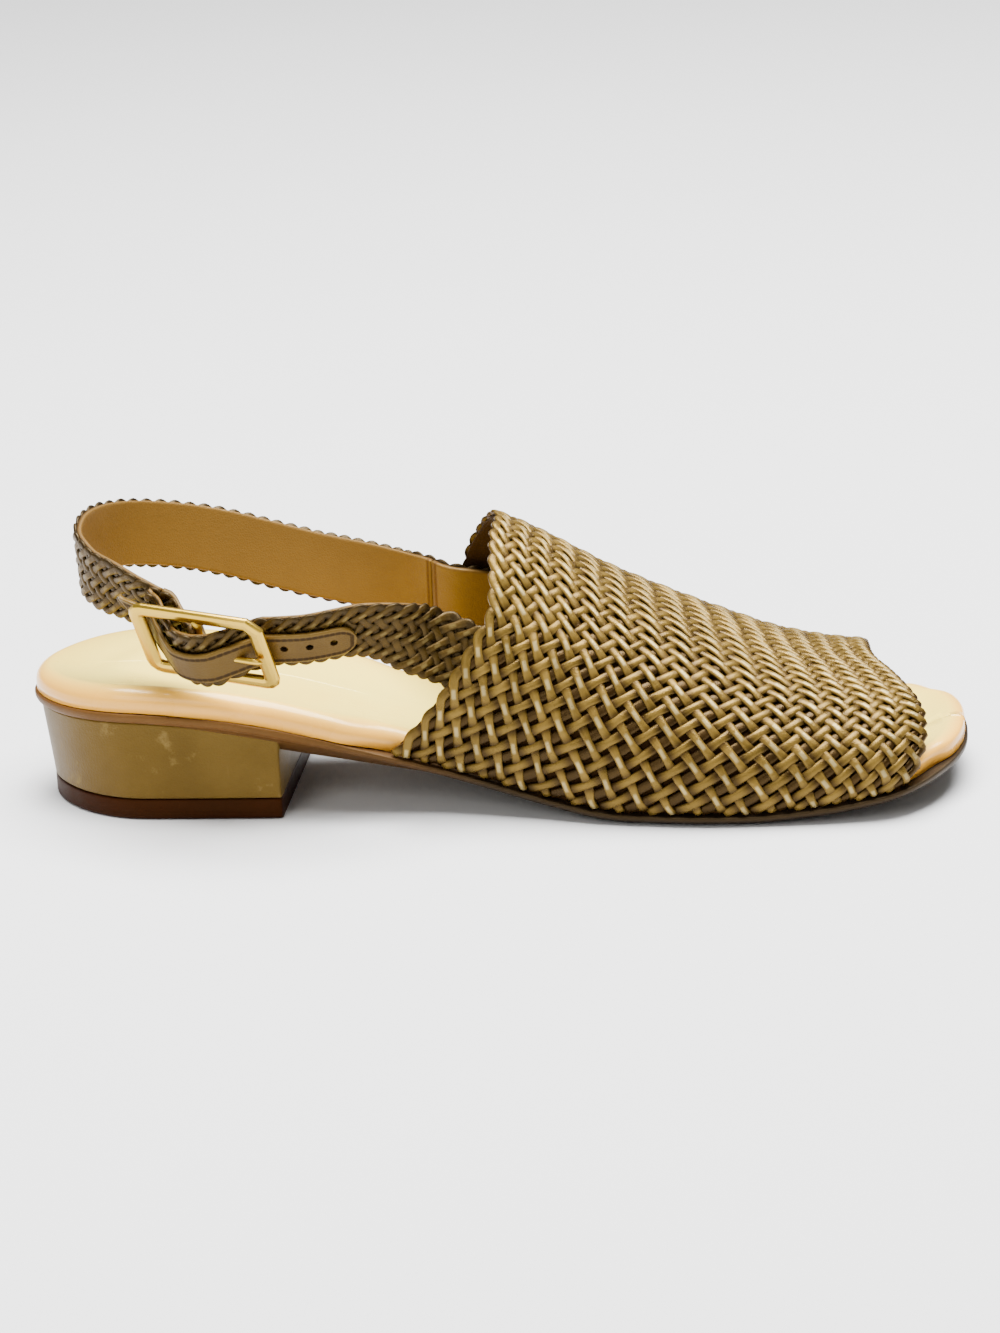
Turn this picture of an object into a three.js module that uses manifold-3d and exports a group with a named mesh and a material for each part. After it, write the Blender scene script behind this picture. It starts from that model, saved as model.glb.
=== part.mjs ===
// Woven slingback sandal on a low covered block heel, right foot, in millimetres.
// X runs from heel to toe, Y from the outer to the inner side, Z up from the ground.
import * as THREE from 'three';
import { mergeVertices } from 'three/addons/utils/BufferGeometryUtils.js';
import Module from 'manifold-3d';

const wasm = await Module();
wasm.setup();

// Sole sizes
const FOOT_LENGTH = 268;
const BALL_WIDTH = 90;
const HEEL_HEIGHT = 28.4;
const TOE_SPRING = 9;
const OUTSOLE_THICKNESS = 2.8;
const OUTSOLE_EDGE = 0.6;
const EDGE_SHARE = 0.3;
const FOOTBED_THICKNESS = 6.6;
const FOOTBED_ROUNDING = 4.4;
const DISH_DEPTH = 1.6;
const ARCH_RISE = 4.2;
const FOOTBED_INSET = 0.7;
const HEEL_CAP = 32;
const TOE_CAP = 27;
const TOE_FULLNESS = 2.33;

// Heel sizes
const LIFT_THICKNESS = 5.8;
const HEEL_INSET = 1.7;
const HEEL_RAKE = 3.6;
const BREAST_AT = 75;
const BREAST_STEP = 5;

// Upper sizes
const INSTEP_HEIGHT = 78.5;
const UPPER_WALL = 2.2;
const UPPER_INSET = 0.8;
const RIB_HEIGHT = 0.8;
const OUTER_BULGE = 0.13;
const INNER_BULGE = 0.2;
const CREST_SHIFT = 4;

// Strap sizes
const STRAP_WIDTH = 19.5;
const STRAP_THICKNESS = 2.2;
const STRAP_RIB = 0.6;
const ANKLE_WIDTH = 71;
const ANKLE_HEIGHT = 71;
const STRAP_LEAN = 28;
const SEAM_ROOM = 0.6;
const FRONT_STRAP_PAST = 20;

// Buckle sizes
const BUCKLE_LENGTH = 42;
const BUCKLE_HEIGHT = 27;
const BUCKLE_BAR = 4.2;
const BUCKLE_THICKNESS = 2.4;
const BUCKLE_EDGE = 0.8;
const BUCKLE_CORNER = 2.2;
const CENTRE_BAR = 2.4;
const PRONG_RADIUS = 1.0;
const PRONG_REST = 0.4;
const PRONG_ROOM_START = 0.8;
const CURL_START = -Math.PI / 3;
const CURL_END = -1.5 * Math.PI;
const CHAPE_THICKNESS = 1.2;
const CHAPE_LENGTH = 17;

// Tab sizes
const TAB_WIDTH = 10.6;
const TAB_DROP = 0.5;
const TAB_THICKNESS = 1.2;
const TAB_SEAT = 0.8;
const TAB_BEFORE = 41;
const TAB_PAST = 27.5;
const TAB_POINT = 8;
const TAB_BLUNT = 0.25;
const TAB_FIRST_HOLE = 21.8;
const TAB_HOLE_RADIUS = 1;
const TAB_HOLE_PITCH = 6.4;
const TAB_HOLES = 3;

// Clearance between pieces that meet, and room for the upper beside the footbed
const GAP = 0.3;
const FOOTBED_REBATE = UPPER_INSET - FOOTBED_INSET + UPPER_WALL + 4 * GAP;

// Weave: half columns across the vamp and half rows over its girth
const VAMP_COLUMNS = 32;
const VAMP_ROWS = 64;
const STRAP_COLUMNS = 4;
const STRAP_ROW_PITCH = 2.9;
const ROW_CROWDING = 0.245;
const COLUMN_CROWDING = -0.2;
const RIB_SKEW = 2;
const SKEW_RUN_IN = 8;

// Steps of the meshed shapes
const HEEL_STEPS = 6;
const MIDDLE_STEPS = 16;
const TOE_STEPS = 7;
const SHOULDER_STEPS = 4;
const SECTION_STEPS = 48;
const TAB_STEPS = 44;
const CHAPE_STEPS = 10;
const CURL_STEPS = 8;
const PRONG_STEPS = 26;

// Width under which a loop counts as closed at its end
const CLOSED_END = 0.01;

// Sole outline: half widths as shares of the ball width, along the foot
const OUTLINE = [
  { along: 0.0, outer: 0.29, inner: 0.3 },
  { along: 0.06, outer: 0.33, inner: 0.33 },
  { along: 0.14, outer: 0.355, inner: 0.34 },
  { along: 0.24, outer: 0.36, inner: 0.335 },
  { along: 0.34, outer: 0.362, inner: 0.312 },
  { along: 0.44, outer: 0.352, inner: 0.315 },
  { along: 0.54, outer: 0.39, inner: 0.375 },
  { along: 0.64, outer: 0.458, inner: 0.46 },
  { along: 0.74, outer: 0.488, inner: 0.505 },
  { along: 0.84, outer: 0.476, inner: 0.522 },
  { along: 0.93, outer: 0.44, inner: 0.53 },
  { along: 1.0, outer: 0.36, inner: 0.45 },
];

// Underside of the outsole: shares of the heel height and of the toe spring
const PROFILE = [
  { along: 0.0, heel: 0.995, toe: 0 },
  { along: 0.1, heel: 1.02, toe: 0 },
  { along: 0.2, heel: 0.955, toe: 0 },
  { along: 0.27, heel: 0.85, toe: 0 },
  { along: 0.34, heel: 0.685, toe: 0 },
  { along: 0.42, heel: 0.47, toe: 0 },
  { along: 0.5, heel: 0.265, toe: 0 },
  { along: 0.57, heel: 0.1, toe: 0 },
  { along: 0.62, heel: 0.02, toe: 0 },
  { along: 0.65, heel: 0, toe: 0 },
  { along: 0.77, heel: 0, toe: 0 },
  { along: 0.84, heel: 0, toe: 0.15 },
  { along: 0.91, heel: 0, toe: 0.45 },
  { along: 1.0, heel: 0, toe: 1 },
];

// Footbed: shares of its thickness, the inner arch's rise, the rebate for the upper's wall and
// the rounding of its shoulder
const FOOTBED = [
  { along: 0.0, thick: 1, arch: 0, rebate: 0, shoulder: 1 },
  { along: 0.2, thick: 1.05, arch: 0.2, rebate: 0, shoulder: 1 },
  { along: 0.34, thick: 1, arch: 0.85, rebate: 0, shoulder: 0.95 },
  { along: 0.4, thick: 0.97, arch: 1, rebate: 1, shoulder: 0.85 },
  { along: 0.55, thick: 0.88, arch: 0.45, rebate: 1, shoulder: 0.7 },
  { along: 0.7, thick: 0.84, arch: 0, rebate: 1, shoulder: 0.6 },
  { along: 0.96, thick: 0.88, arch: 0, rebate: 1, shoulder: 0.55 },
  { along: 0.985, thick: 0.9, arch: 0, rebate: 0.2, shoulder: 0.55 },
  { along: 1.0, thick: 0.92, arch: 0, rebate: 0, shoulder: 0.55 },
];

// Inner loops of the footbed's top: inset from its shoulder, squeeze and share of the dish
const DISH = [
  { inset: 3, squeeze: 1, depth: 0.35 },
  { inset: 6, squeeze: 0.8, depth: 0.8 },
  { inset: 9, squeeze: 0.45, depth: 1 },
];

// Sides of the heel block: share of its rise, of the rake of its back and of its inset
const HEEL_SHAPE = [
  { rise: 0, rake: 1, inset: 0.4 },
  { rise: 0.45, rake: 0.6, inset: 0.6 },
  { rise: 0.8, rake: 0.2, inset: 0.9 },
  { rise: 1, rake: 0, inset: 1 },
];

// Crest of the upper along the foot: shares of the instep height, of the crest's shift to the
// inner side and of the side bulge, and the fullness of the section
const CREST = [
  { along: 0.36, height: 1.17, shift: 0.2, fullness: 2.25, bulge: 1 },
  { along: 0.46, height: 1.06, shift: 0.3, fullness: 2.25, bulge: 1 },
  { along: 0.51, height: 0.99, shift: 0.4, fullness: 2.25, bulge: 1 },
  { along: 0.56, height: 0.9, shift: 0.5, fullness: 2.25, bulge: 0.85 },
  { along: 0.62, height: 0.775, shift: 0.6, fullness: 2.25, bulge: 0.65 },
  { along: 0.68, height: 0.67, shift: 0.7, fullness: 2.3, bulge: 0.5 },
  { along: 0.74, height: 0.575, shift: 0.8, fullness: 2.35, bulge: 0.4 },
  { along: 0.8, height: 0.49, shift: 0.9, fullness: 2.4, bulge: 0.35 },
  { along: 0.86, height: 0.44, shift: 1, fullness: 2.4, bulge: 0.3 },
  { along: 0.9, height: 0.42, shift: 1, fullness: 2.4, bulge: 0.3 },
  { along: 0.95, height: 0.385, shift: 1, fullness: 2.4, bulge: 0.3 },
  { along: 1.0, height: 0.34, shift: 1, fullness: 2.4, bulge: 0.3 },
];

// Throat and toe edges of the upper: along the foot, over the girth from outer to inner side
const EDGES = [
  { girth: 0.0, throat: 0.397, toe: 0.941 },
  { girth: 0.06, throat: 0.424, toe: 0.955 },
  { girth: 0.12, throat: 0.449, toe: 0.96 },
  { girth: 0.18, throat: 0.471, toe: 0.959 },
  { girth: 0.24, throat: 0.491, toe: 0.955 },
  { girth: 0.3, throat: 0.507, toe: 0.947 },
  { girth: 0.36, throat: 0.508, toe: 0.936 },
  { girth: 0.44, throat: 0.506, toe: 0.92 },
  { girth: 0.5, throat: 0.508, toe: 0.907 },
  { girth: 0.56, throat: 0.5, toe: 0.9 },
  { girth: 0.64, throat: 0.481, toe: 0.896 },
  { girth: 0.74, throat: 0.459, toe: 0.893 },
  { girth: 0.86, throat: 0.452, toe: 0.89 },
  { girth: 1.0, throat: 0.43, toe: 0.885 },
];

// Strap line from the outer side of the vamp round the heel to its inner side:
// along the foot, across as a share of the ankle width (null where it lies in the upper),
// height as a share of the ankle height, and share of the full lean
const STRAP_LINE = [
  { along: 0.519, side: -1, across: null, height: 0.585, lean: null },
  { along: 0.487, side: -1, across: null, height: 0.641, lean: null },
  { along: 0.455, side: -1, across: null, height: 0.699, lean: null },
  { along: 0.414, side: -1, across: -0.465, height: 0.766, lean: 0.60 },
  { along: 0.382, side: -1, across: -0.501, height: 0.792, lean: 0.95 },
  { along: 0.354, side: -1, across: -0.520, height: 0.796, lean: 1.05 },
  { along: 0.328, side: -1, across: -0.531, height: 0.796, lean: 1.05 },
  { along: 0.299, side: -1, across: -0.534, height: 0.796, lean: 1.00 },
  { along: 0.269, side: -1, across: -0.517, height: 0.797, lean: 1.00 },
  { along: 0.227, side: -1, across: -0.458, height: 0.806, lean: 1.00 },
  { along: 0.185, side: -1, across: -0.399, height: 0.815, lean: 1.00 },
  { along: 0.160, side: -1, across: -0.361, height: 0.838, lean: 0.95 },
  { along: 0.137, side: -1, across: -0.324, height: 0.870, lean: 0.85 },
  { along: 0.111, side: -1, across: -0.270, height: 0.904, lean: 0.65 },
  { along: 0.083, side: -1, across: -0.197, height: 0.932, lean: 0.40 },
  { along: 0.064, side: -1, across: -0.099, height: 0.969, lean: 0.15 },
  { along: 0.060, side: 1, across: 0.007, height: 0.994, lean: 0.05 },
  { along: 0.065, side: 1, across: 0.127, height: 1.000, lean: 0.10 },
  { along: 0.083, side: 1, across: 0.261, height: 0.986, lean: 0.30 },
  { along: 0.113, side: 1, across: 0.377, height: 0.955, lean: 0.50 },
  { along: 0.155, side: 1, across: 0.459, height: 0.913, lean: 0.60 },
  { along: 0.196, side: 1, across: 0.500, height: 0.869, lean: 0.65 },
  { along: 0.243, side: 1, across: 0.518, height: 0.814, lean: 0.65 },
  { along: 0.291, side: 1, across: 0.521, height: 0.763, lean: 0.60 },
  { along: 0.343, side: 1, across: 0.507, height: 0.724, lean: 0.45 },
  { along: 0.392, side: 1, across: 0.470, height: 0.694, lean: 0.15 },
  { along: 0.420, side: 1, across: 0.418, height: 0.692, lean: -0.15 },
  { along: 0.450, side: 1, across: null, height: 0.686, lean: null },
  { along: 0.493, side: 1, across: null, height: 0.660, lean: null },
  { along: 0.519, side: 1, across: null, height: 0.640, lean: null },
];

// Buckle centre as a distance along the strap line from its outer end
const BUCKLE_AT = 86;

// Front strap about the buckle: distance from its centre towards the toe in buckle lengths,
// stand-off from behind the bars (0) to over the centre bar (1), and its width and its
// rise above the middle of the back strap as shares of the strap width
const FRONT_STRAP = [
  { along: -0.8, arch: -0.26, spread: 0, width: 0.92, rise: 0.4 },
  { along: -0.6, arch: 0, spread: 0, width: 0.92, rise: 0.26 },
  { along: -0.5, arch: 0, spread: 0, width: 0.92, rise: 0.15 },
  { along: -0.41, arch: 0, spread: 0, width: 0.92, rise: 0.05 },
  { along: -0.3, arch: 0.25, spread: 0, width: 0.92, rise: 0 },
  { along: -0.2, arch: 0.62, spread: 0, width: 0.93, rise: 0 },
  { along: -0.1, arch: 0.93, spread: 0, width: 1, rise: 0 },
  { along: 0, arch: 1, spread: 0, width: 1, rise: 0 },
  { along: 0.1, arch: 0.93, spread: 0, width: 1, rise: 0 },
  { along: 0.2, arch: 0.62, spread: 0, width: 0.93, rise: 0 },
  { along: 0.3, arch: 0.25, spread: 0, width: 0.92, rise: 0 },
  { along: 0.41, arch: 0, spread: 0, width: 0.92, rise: 0 },
  { along: 0.6, arch: 0, spread: 0.1, width: 0.95, rise: 0 },
  { along: 1.05, arch: 0, spread: 1, width: 1, rise: 0 },
  { along: 1.7, arch: 0, spread: 1, width: 1.04, rise: 0 },
  { along: 2.4, arch: 0, spread: 1, width: 1, rise: 0 },
];

// Chape from the bar to the back strap: share of its length, rise to the bar and strap width
const CHAPE = [
  { along: 0, rise: 1, width: 0.82 },
  { along: 0.15, rise: 0.95, width: 0.82 },
  { along: 0.4, rise: 0.5, width: 0.88 },
  { along: 0.7, rise: 0.08, width: 0.97 },
  { along: 0.85, rise: 0, width: 1 },
  { along: 1, rise: 0, width: 1 },
];

// Returns a smooth reading of one column of a table that never overshoots its rows
function curveOf(rows, across, column) {
  const xs = rows.map((row) => row[across]);
  const ys = rows.map((row) => row[column]);
  const slopes = xs.slice(1).map((x, i) => (ys[i + 1] - ys[i]) / (x - xs[i]));
  const tangents = xs.map((x, i) => {
    const before = slopes[Math.max(i - 1, 0)];
    const after = slopes[Math.min(i, slopes.length - 1)];
    return before * after <= 0 ? 0 : (2 * before * after) / (before + after);
  });
  return (x) => {
    const next = xs.findIndex((end, i) => i > 0 && x <= end);
    const i = next < 0 ? xs.length - 2 : next - 1;
    const span = xs[i + 1] - xs[i];
    const t = THREE.MathUtils.clamp((x - xs[i]) / span, 0, 1);
    const ease = t * t * (3 - 2 * t);
    const leave = t * (1 - t) * (1 - t) * span * tangents[i];
    const arrive = t * t * (1 - t) * span * tangents[i + 1];
    return ys[i] + (ys[i + 1] - ys[i]) * ease + leave - arrive;
  };
}

// Builds a geometry from points and triangles of point numbers
function geometryOf(points, faces) {
  const geometry = new THREE.BufferGeometry();
  geometry.setAttribute('position', new THREE.Float32BufferAttribute(points.flatMap((p) => p.toArray()), 3));
  geometry.setIndex(faces.flat());
  return geometry;
}

// Turns a closed geometry into a manifold-3d solid
function solidOf(geometry) {
  const bare = geometry.clone();
  bare.deleteAttribute('normal');
  bare.deleteAttribute('uv');
  const merged = mergeVertices(bare, 1e-5);
  const vertProperties = new Float32Array(merged.attributes.position.array);
  const triVerts = new Uint32Array(merged.index.array);
  return new wasm.Manifold(new wasm.Mesh({ numProp: 3, vertProperties, triVerts }));
}

// Turns a manifold-3d solid back into a geometry
function geometryFrom(solid) {
  const mesh = solid.getMesh();
  const geometry = new THREE.BufferGeometry();
  geometry.setAttribute('position', new THREE.Float32BufferAttribute(mesh.vertProperties, 3));
  geometry.setIndex(new THREE.Uint32BufferAttribute(mesh.triVerts, 1));
  return geometry;
}

// Cuts the tools out of a closed geometry
function cut(geometry, tools) {
  return geometryFrom(tools.reduce((solid, tool) => solid.subtract(solidOf(tool)), solidOf(geometry)));
}

// Sole shape
const outlineShare = {
  outer: curveOf(OUTLINE, 'along', 'outer'),
  inner: curveOf(OUTLINE, 'along', 'inner'),
};
const heelShare = curveOf(PROFILE, 'along', 'heel');
const toeShare = curveOf(PROFILE, 'along', 'toe');
const footbedThick = curveOf(FOOTBED, 'along', 'thick');
const footbedArch = curveOf(FOOTBED, 'along', 'arch');
const footbedRebate = curveOf(FOOTBED, 'along', 'rebate');
const footbedShoulder = curveOf(FOOTBED, 'along', 'shoulder');

// Share of the width that is left near an end, by how far the end is in cap lengths
function capShare(fromEnd, fullness) {
  const open = THREE.MathUtils.clamp(1 - fromEnd, 0, 1);
  return (1 - open ** fullness) ** (1 / fullness);
}

// Half width of the sole at x on one side, drawn in by an inset
function soleHalfWidth(x, side, inset) {
  const share = side < 0 ? outlineShare.outer : outlineShare.inner;
  const heel = capShare((x - inset) / (HEEL_CAP - inset), 2);
  const toe = capShare((FOOT_LENGTH - inset - x) / (TOE_CAP - inset), TOE_FULLNESS);
  return (share(x / FOOT_LENGTH) * BALL_WIDTH - inset) * heel * toe;
}

// Height of the underside of the outsole at x
function soleBottom(x) {
  return heelShare(x / FOOT_LENGTH) * HEEL_HEIGHT + toeShare(x / FOOT_LENGTH) * TOE_SPRING;
}

// Height of the top of the outsole at x
function outsoleTop(x) {
  return soleBottom(x) + OUTSOLE_THICKNESS;
}

// Stations along the sole, close together round the heel and the toe
function soleStations(inset) {
  const quarter = Math.PI / 2;
  const toeStart = FOOT_LENGTH - TOE_CAP;
  const stations = [];
  for (let i = 0; i < HEEL_STEPS; i++) {
    stations.push(inset + (HEEL_CAP - inset) * (1 - Math.cos((quarter * i) / HEEL_STEPS)));
  }
  for (let i = 0; i < MIDDLE_STEPS; i++) {
    stations.push(THREE.MathUtils.lerp(HEEL_CAP, toeStart, i / MIDDLE_STEPS));
  }
  for (let i = TOE_STEPS; i >= 0; i--) {
    const reach = Math.cos((quarter * i) / TOE_STEPS) ** (2 / TOE_FULLNESS);
    stations.push(toeStart + (TOE_CAP - inset) * reach);
  }
  return stations;
}

// Loop of points round the sole: outer side to the toe, inner side back to the heel.
// The inset is a function of x, and the squeeze draws the loop in towards the middle line.
function soleLoop(stations, inset, height, squeeze = 1) {
  const point = (x, side) => {
    const y = side * soleHalfWidth(x, side, inset(x)) * squeeze;
    return new THREE.Vector3(x, y, height(x, y));
  };
  const outer = stations.map((x) => point(x, -1));
  const inner = stations.map((x) => point(x, 1)).reverse();
  const closes = soleHalfWidth(stations.at(-1), 1, inset(stations.at(-1))) < CLOSED_END;
  return [...outer, ...inner.slice(closes ? 1 : 0, -1)];
}

// Closes a stack of loops, bottom first, into one solid
function stackSolid(loops) {
  const count = loops[0].length;
  const faces = [];
  for (let k = 0; k < loops.length - 1; k++) {
    for (let i = 0; i < count; i++) {
      const next = (i + 1) % count;
      const here = k * count;
      faces.push([here + i, here + next, here + count + next]);
      faces.push([here + i, here + count + next, here + count + i]);
    }
  }
  const top = (loops.length - 1) * count;
  let low = 0;
  let high = count - 1;
  while (low + 1 < high) {
    faces.push([high, low + 1, low], [top + low, top + low + 1, top + high]);
    low += 1;
    if (low + 1 < high) {
      faces.push([high, high - 1, low], [top + low, top + high - 1, top + high]);
      high -= 1;
    }
  }
  return geometryOf(loops.flat(), faces);
}

// Outsole: a thin plate with its lower edge drawn in
function outsole() {
  const stations = soleStations(OUTSOLE_EDGE);
  const edge = (share) => (x) => soleBottom(x) + OUTSOLE_THICKNESS * share;
  return stackSolid([
    soleLoop(stations, () => OUTSOLE_EDGE, edge(0)),
    soleLoop(soleStations(0), () => 0, edge(EDGE_SHARE)),
    soleLoop(soleStations(0), () => 0, edge(1)),
  ]);
}

// Distance from the sole's edge to the footbed's side, wider where the upper passes.
// Loops further in read it as far ahead as they are drawn in, so that they end in step.
function footbedInset(x) {
  return FOOTBED_INSET + FOOTBED_REBATE * footbedRebate(x / FOOT_LENGTH);
}

// Height of the footbed's rim, with the arch raised on the inner side
function footbedTop(x, y) {
  const thick = FOOTBED_THICKNESS * footbedThick(x / FOOT_LENGTH);
  const reach = Math.max(y / (BALL_WIDTH / 2), 0);
  return outsoleTop(x) + GAP + thick + ARCH_RISE * footbedArch(x / FOOT_LENGTH) * reach ** 2;
}

// Footbed: upright rim, rounded shoulder, and a shallow dish under the foot
function footbed() {
  const loops = [];
  const foot = (x) => outsoleTop(x) + GAP;
  loops.push(soleLoop(soleStations(FOOTBED_INSET), footbedInset, foot));
  for (let i = 0; i <= SHOULDER_STEPS; i++) {
    const angle = (Math.PI / 2) * (i / SHOULDER_STEPS);
    const drawn = FOOTBED_ROUNDING * (1 - Math.cos(angle));
    const below = FOOTBED_ROUNDING * (1 - Math.sin(angle));
    const inset = (x) => footbedInset(x + drawn) + drawn;
    const height = (x, y) => footbedTop(x, y) - below * footbedShoulder(x / FOOT_LENGTH);
    loops.push(soleLoop(soleStations(FOOTBED_INSET + drawn), inset, height));
  }
  for (const ring of DISH) {
    const drawn = FOOTBED_ROUNDING + ring.inset;
    const inset = (x) => footbedInset(x + drawn) + drawn;
    const height = (x, y) => footbedTop(x, y) - DISH_DEPTH * ring.depth;
    loops.push(soleLoop(soleStations(FOOTBED_INSET + drawn), inset, height, ring.squeeze));
  }
  return stackSolid(loops);
}

// Loop round the heel from its back, raked forward, to the flat breast
function heelLoop(row, height) {
  const inset = HEEL_INSET * row.inset;
  const stations = soleStations(inset).filter((x) => x < BREAST_AT - BREAST_STEP);
  const loop = soleLoop([...stations, BREAST_AT], () => inset, () => 0);
  return loop.map((point) => {
    const x = point.x + HEEL_RAKE * row.rake * (1 - point.x / BREAST_AT);
    return new THREE.Vector3(x, point.y, height(x));
  });
}

// Heel block: leather covered, narrower towards the ground
function heelBlock() {
  const floor = LIFT_THICKNESS + GAP;
  return stackSolid(HEEL_SHAPE.map((row) => {
    return heelLoop(row, (x) => THREE.MathUtils.lerp(floor, soleBottom(x) - GAP, row.rise));
  }));
}

// Top lift: the walking surface under the heel
function heelTopLift() {
  const foot = HEEL_SHAPE[0];
  return stackSolid([heelLoop(foot, () => 0), heelLoop(foot, () => LIFT_THICKNESS)]);
}

// Upper shape
const crestHeight = curveOf(CREST, 'along', 'height');
const crestShift = curveOf(CREST, 'along', 'shift');
const crestFullness = curveOf(CREST, 'along', 'fullness');
const sideBulge = curveOf(CREST, 'along', 'bulge');
const throatEdge = curveOf(EDGES, 'girth', 'throat');
const toeEdge = curveOf(EDGES, 'girth', 'toe');

// Cross-section of the upper at x: points from the outer base over the crest to the inner base
function upperSection(x) {
  const along = x / FOOT_LENGTH;
  const base = outsoleTop(x) + 2 * GAP;
  const crest = INSTEP_HEIGHT * crestHeight(along);
  const shift = CREST_SHIFT * crestShift(along);
  const power = 2 / crestFullness(along);
  const points = [];
  for (let i = 0; i <= SECTION_STEPS; i++) {
    const angle = (Math.PI * i) / SECTION_STEPS;
    const side = Math.sign(-Math.cos(angle));
    const across = Math.abs(Math.cos(angle)) ** power;
    const rise = Math.sin(angle) ** power;
    const swell = (side < 0 ? OUTER_BULGE : INNER_BULGE) * sideBulge(along) * Math.sin(Math.PI * rise);
    const edge = side * soleHalfWidth(x, side, UPPER_INSET) * (1 + swell);
    points.push(new THREE.Vector3(x, shift + (edge - shift) * across, base + (crest - base) * rise));
  }
  return points;
}

// Point of the upper at a share of its reach (throat to toe) and girth (outer to inner base)
function upperPoint(reach, girth) {
  const along = THREE.MathUtils.lerp(throatEdge(girth), toeEdge(girth), reach);
  return pointAlong(upperSection(along * FOOT_LENGTH), girth);
}

// Point at a share of the length of a chain of points
function pointAlong(chain, share) {
  const lengths = chain.slice(1).map((point, i) => point.distanceTo(chain[i]));
  const total = lengths.reduce((sum, length) => sum + length, 0);
  let left = THREE.MathUtils.clamp(share, 0, 1) * total;
  let i = 0;
  while (i < lengths.length - 1 && left > lengths[i]) {
    left -= lengths[i];
    i += 1;
  }
  return chain[i].clone().lerp(chain[i + 1], left / lengths[i]);
}

// Unit normal of a surface of two shares, by small steps within 0 to 1
function surfaceNormal(surface, c, r) {
  const step = 1e-3;
  const across = surface(Math.min(c + step, 1), r).sub(surface(Math.max(c - step, 0), r));
  const along = surface(c, Math.min(r + step, 1)).sub(surface(c, Math.max(r - step, 0)));
  return across.cross(along).normalize();
}

// Joins two chains of point numbers with triangles, in equal shares of their lengths
function stitch(first, second) {
  const faces = [];
  let i = 0;
  let j = 0;
  while (i < first.length - 1 || j < second.length - 1) {
    const firstNext = (i + 1) / (first.length - 1);
    const secondNext = (j + 1) / (second.length - 1);
    if (i < first.length - 1 && firstNext <= secondNext) {
      faces.push([first[i], first[i + 1], second[j]]);
      i += 1;
    } else {
      faces.push([first[i], second[j + 1], second[j]]);
      j += 1;
    }
  }
  return faces;
}

// Closed wall under a surface of two shares (across columns, along rows), with slanting
// ribs raised on its outer face in a herringbone and a plain, coarser inner face
function wovenWall(options) {
  const { surface, columns, rows, wall, rib, liningColumns, liningRows } = options;
  const { rowCrowding = 0, columnCrowding = 0 } = options;
  const points = [];
  const faces = [];
  const add = (c, r, lift) => {
    const point = surface(c, r);
    points.push(point.addScaledVector(surfaceNormal(surface, c, r), lift));
    return points.length - 1;
  };
  const crowded = (q, crowding) => q + (crowding * Math.sin(2 * Math.PI * q)) / (2 * Math.PI);
  const grid = (across, down, place) => {
    const lines = [];
    for (let j = 0; j <= across; j++) {
      const line = [];
      for (let m = 0; m <= down; m++) {
        line.push(place(j, m));
      }
      lines.push(line);
    }
    return lines;
  };
  const outside = grid(columns, rows, (j, m) => {
    const runIn = Math.min(m, rows - m, SKEW_RUN_IN) / SKEW_RUN_IN;
    const slant = rib > 0 && j % 2 === 1 ? RIB_SKEW * runIn : 0;
    const column = crowded(j / columns, columnCrowding);
    return add(column, crowded((m + slant) / rows, rowCrowding), m % 2 === 0 ? rib : 0);
  });
  const inside = grid(liningColumns, liningRows, (a, b) => {
    const column = crowded(a / liningColumns, columnCrowding);
    return add(column, crowded(b / liningRows, rowCrowding), -wall);
  });
  const skin = (lines, flip) => {
    for (let j = 0; j < lines.length - 1; j++) {
      for (let m = 0; m < lines[0].length - 1; m++) {
        const [a, b, c, d] = [lines[j][m], lines[j + 1][m], lines[j + 1][m + 1], lines[j][m + 1]];
        faces.push(...(flip ? [[c, b, a], [d, c, a]] : [[a, b, c], [a, c, d]]));
      }
    }
  };
  const turned = (triangles) => triangles.map((face) => face.slice().reverse());
  const ends = (lines, at) => lines.map((line) => line.at(at));
  skin(outside, false);
  skin(inside, true);
  faces.push(...stitch(outside[0], inside[0]));
  faces.push(...turned(stitch(outside.at(-1), inside.at(-1))));
  faces.push(...turned(stitch(ends(outside, 0), ends(inside, 0))));
  faces.push(...stitch(ends(outside, -1), ends(inside, -1)));
  return geometryOf(points, faces);
}

// Upper: one hollow woven wall, open at the throat, the toe and underneath
function upper() {
  return wovenWall({
    surface: upperPoint,
    columns: VAMP_COLUMNS,
    rows: VAMP_ROWS,
    wall: UPPER_WALL,
    rib: RIB_HEIGHT,
    rowCrowding: ROW_CROWDING,
    columnCrowding: COLUMN_CROWDING,
    liningColumns: VAMP_COLUMNS / 2,
    liningRows: VAMP_ROWS / 2,
  });
}

// Point of a flank of the upper at a height
function flankPoint(flank, z) {
  const i = flank.findIndex((point) => point.z > z) - 1;
  const share = (z - flank[i].z) / (flank[i + 1].z - flank[i].z);
  return flank[i].clone().lerp(flank[i + 1], share);
}

// Place of the strap line inside the upper: flat across the flank, clear of its inner face
function insideUpper(x, z, side) {
  const section = upperSection(x);
  const half = Math.floor(SECTION_STEPS / 2);
  const flank = side < 0 ? section.slice(0, half + 1) : section.slice(half).reverse();
  const low = flankPoint(flank, z - STRAP_WIDTH / 2);
  const high = flankPoint(flank, z + STRAP_WIDTH / 2);
  const lean = Math.atan2(side * (high.y - low.y), high.z - low.z);
  const depth = UPPER_WALL + GAP + STRAP_RIB + SEAM_ROOM;
  const inward = new THREE.Vector3(0, -side * Math.cos(lean), Math.sin(lean));
  return { point: low.lerp(high, 0.5).addScaledVector(inward, depth), lean };
}

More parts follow.
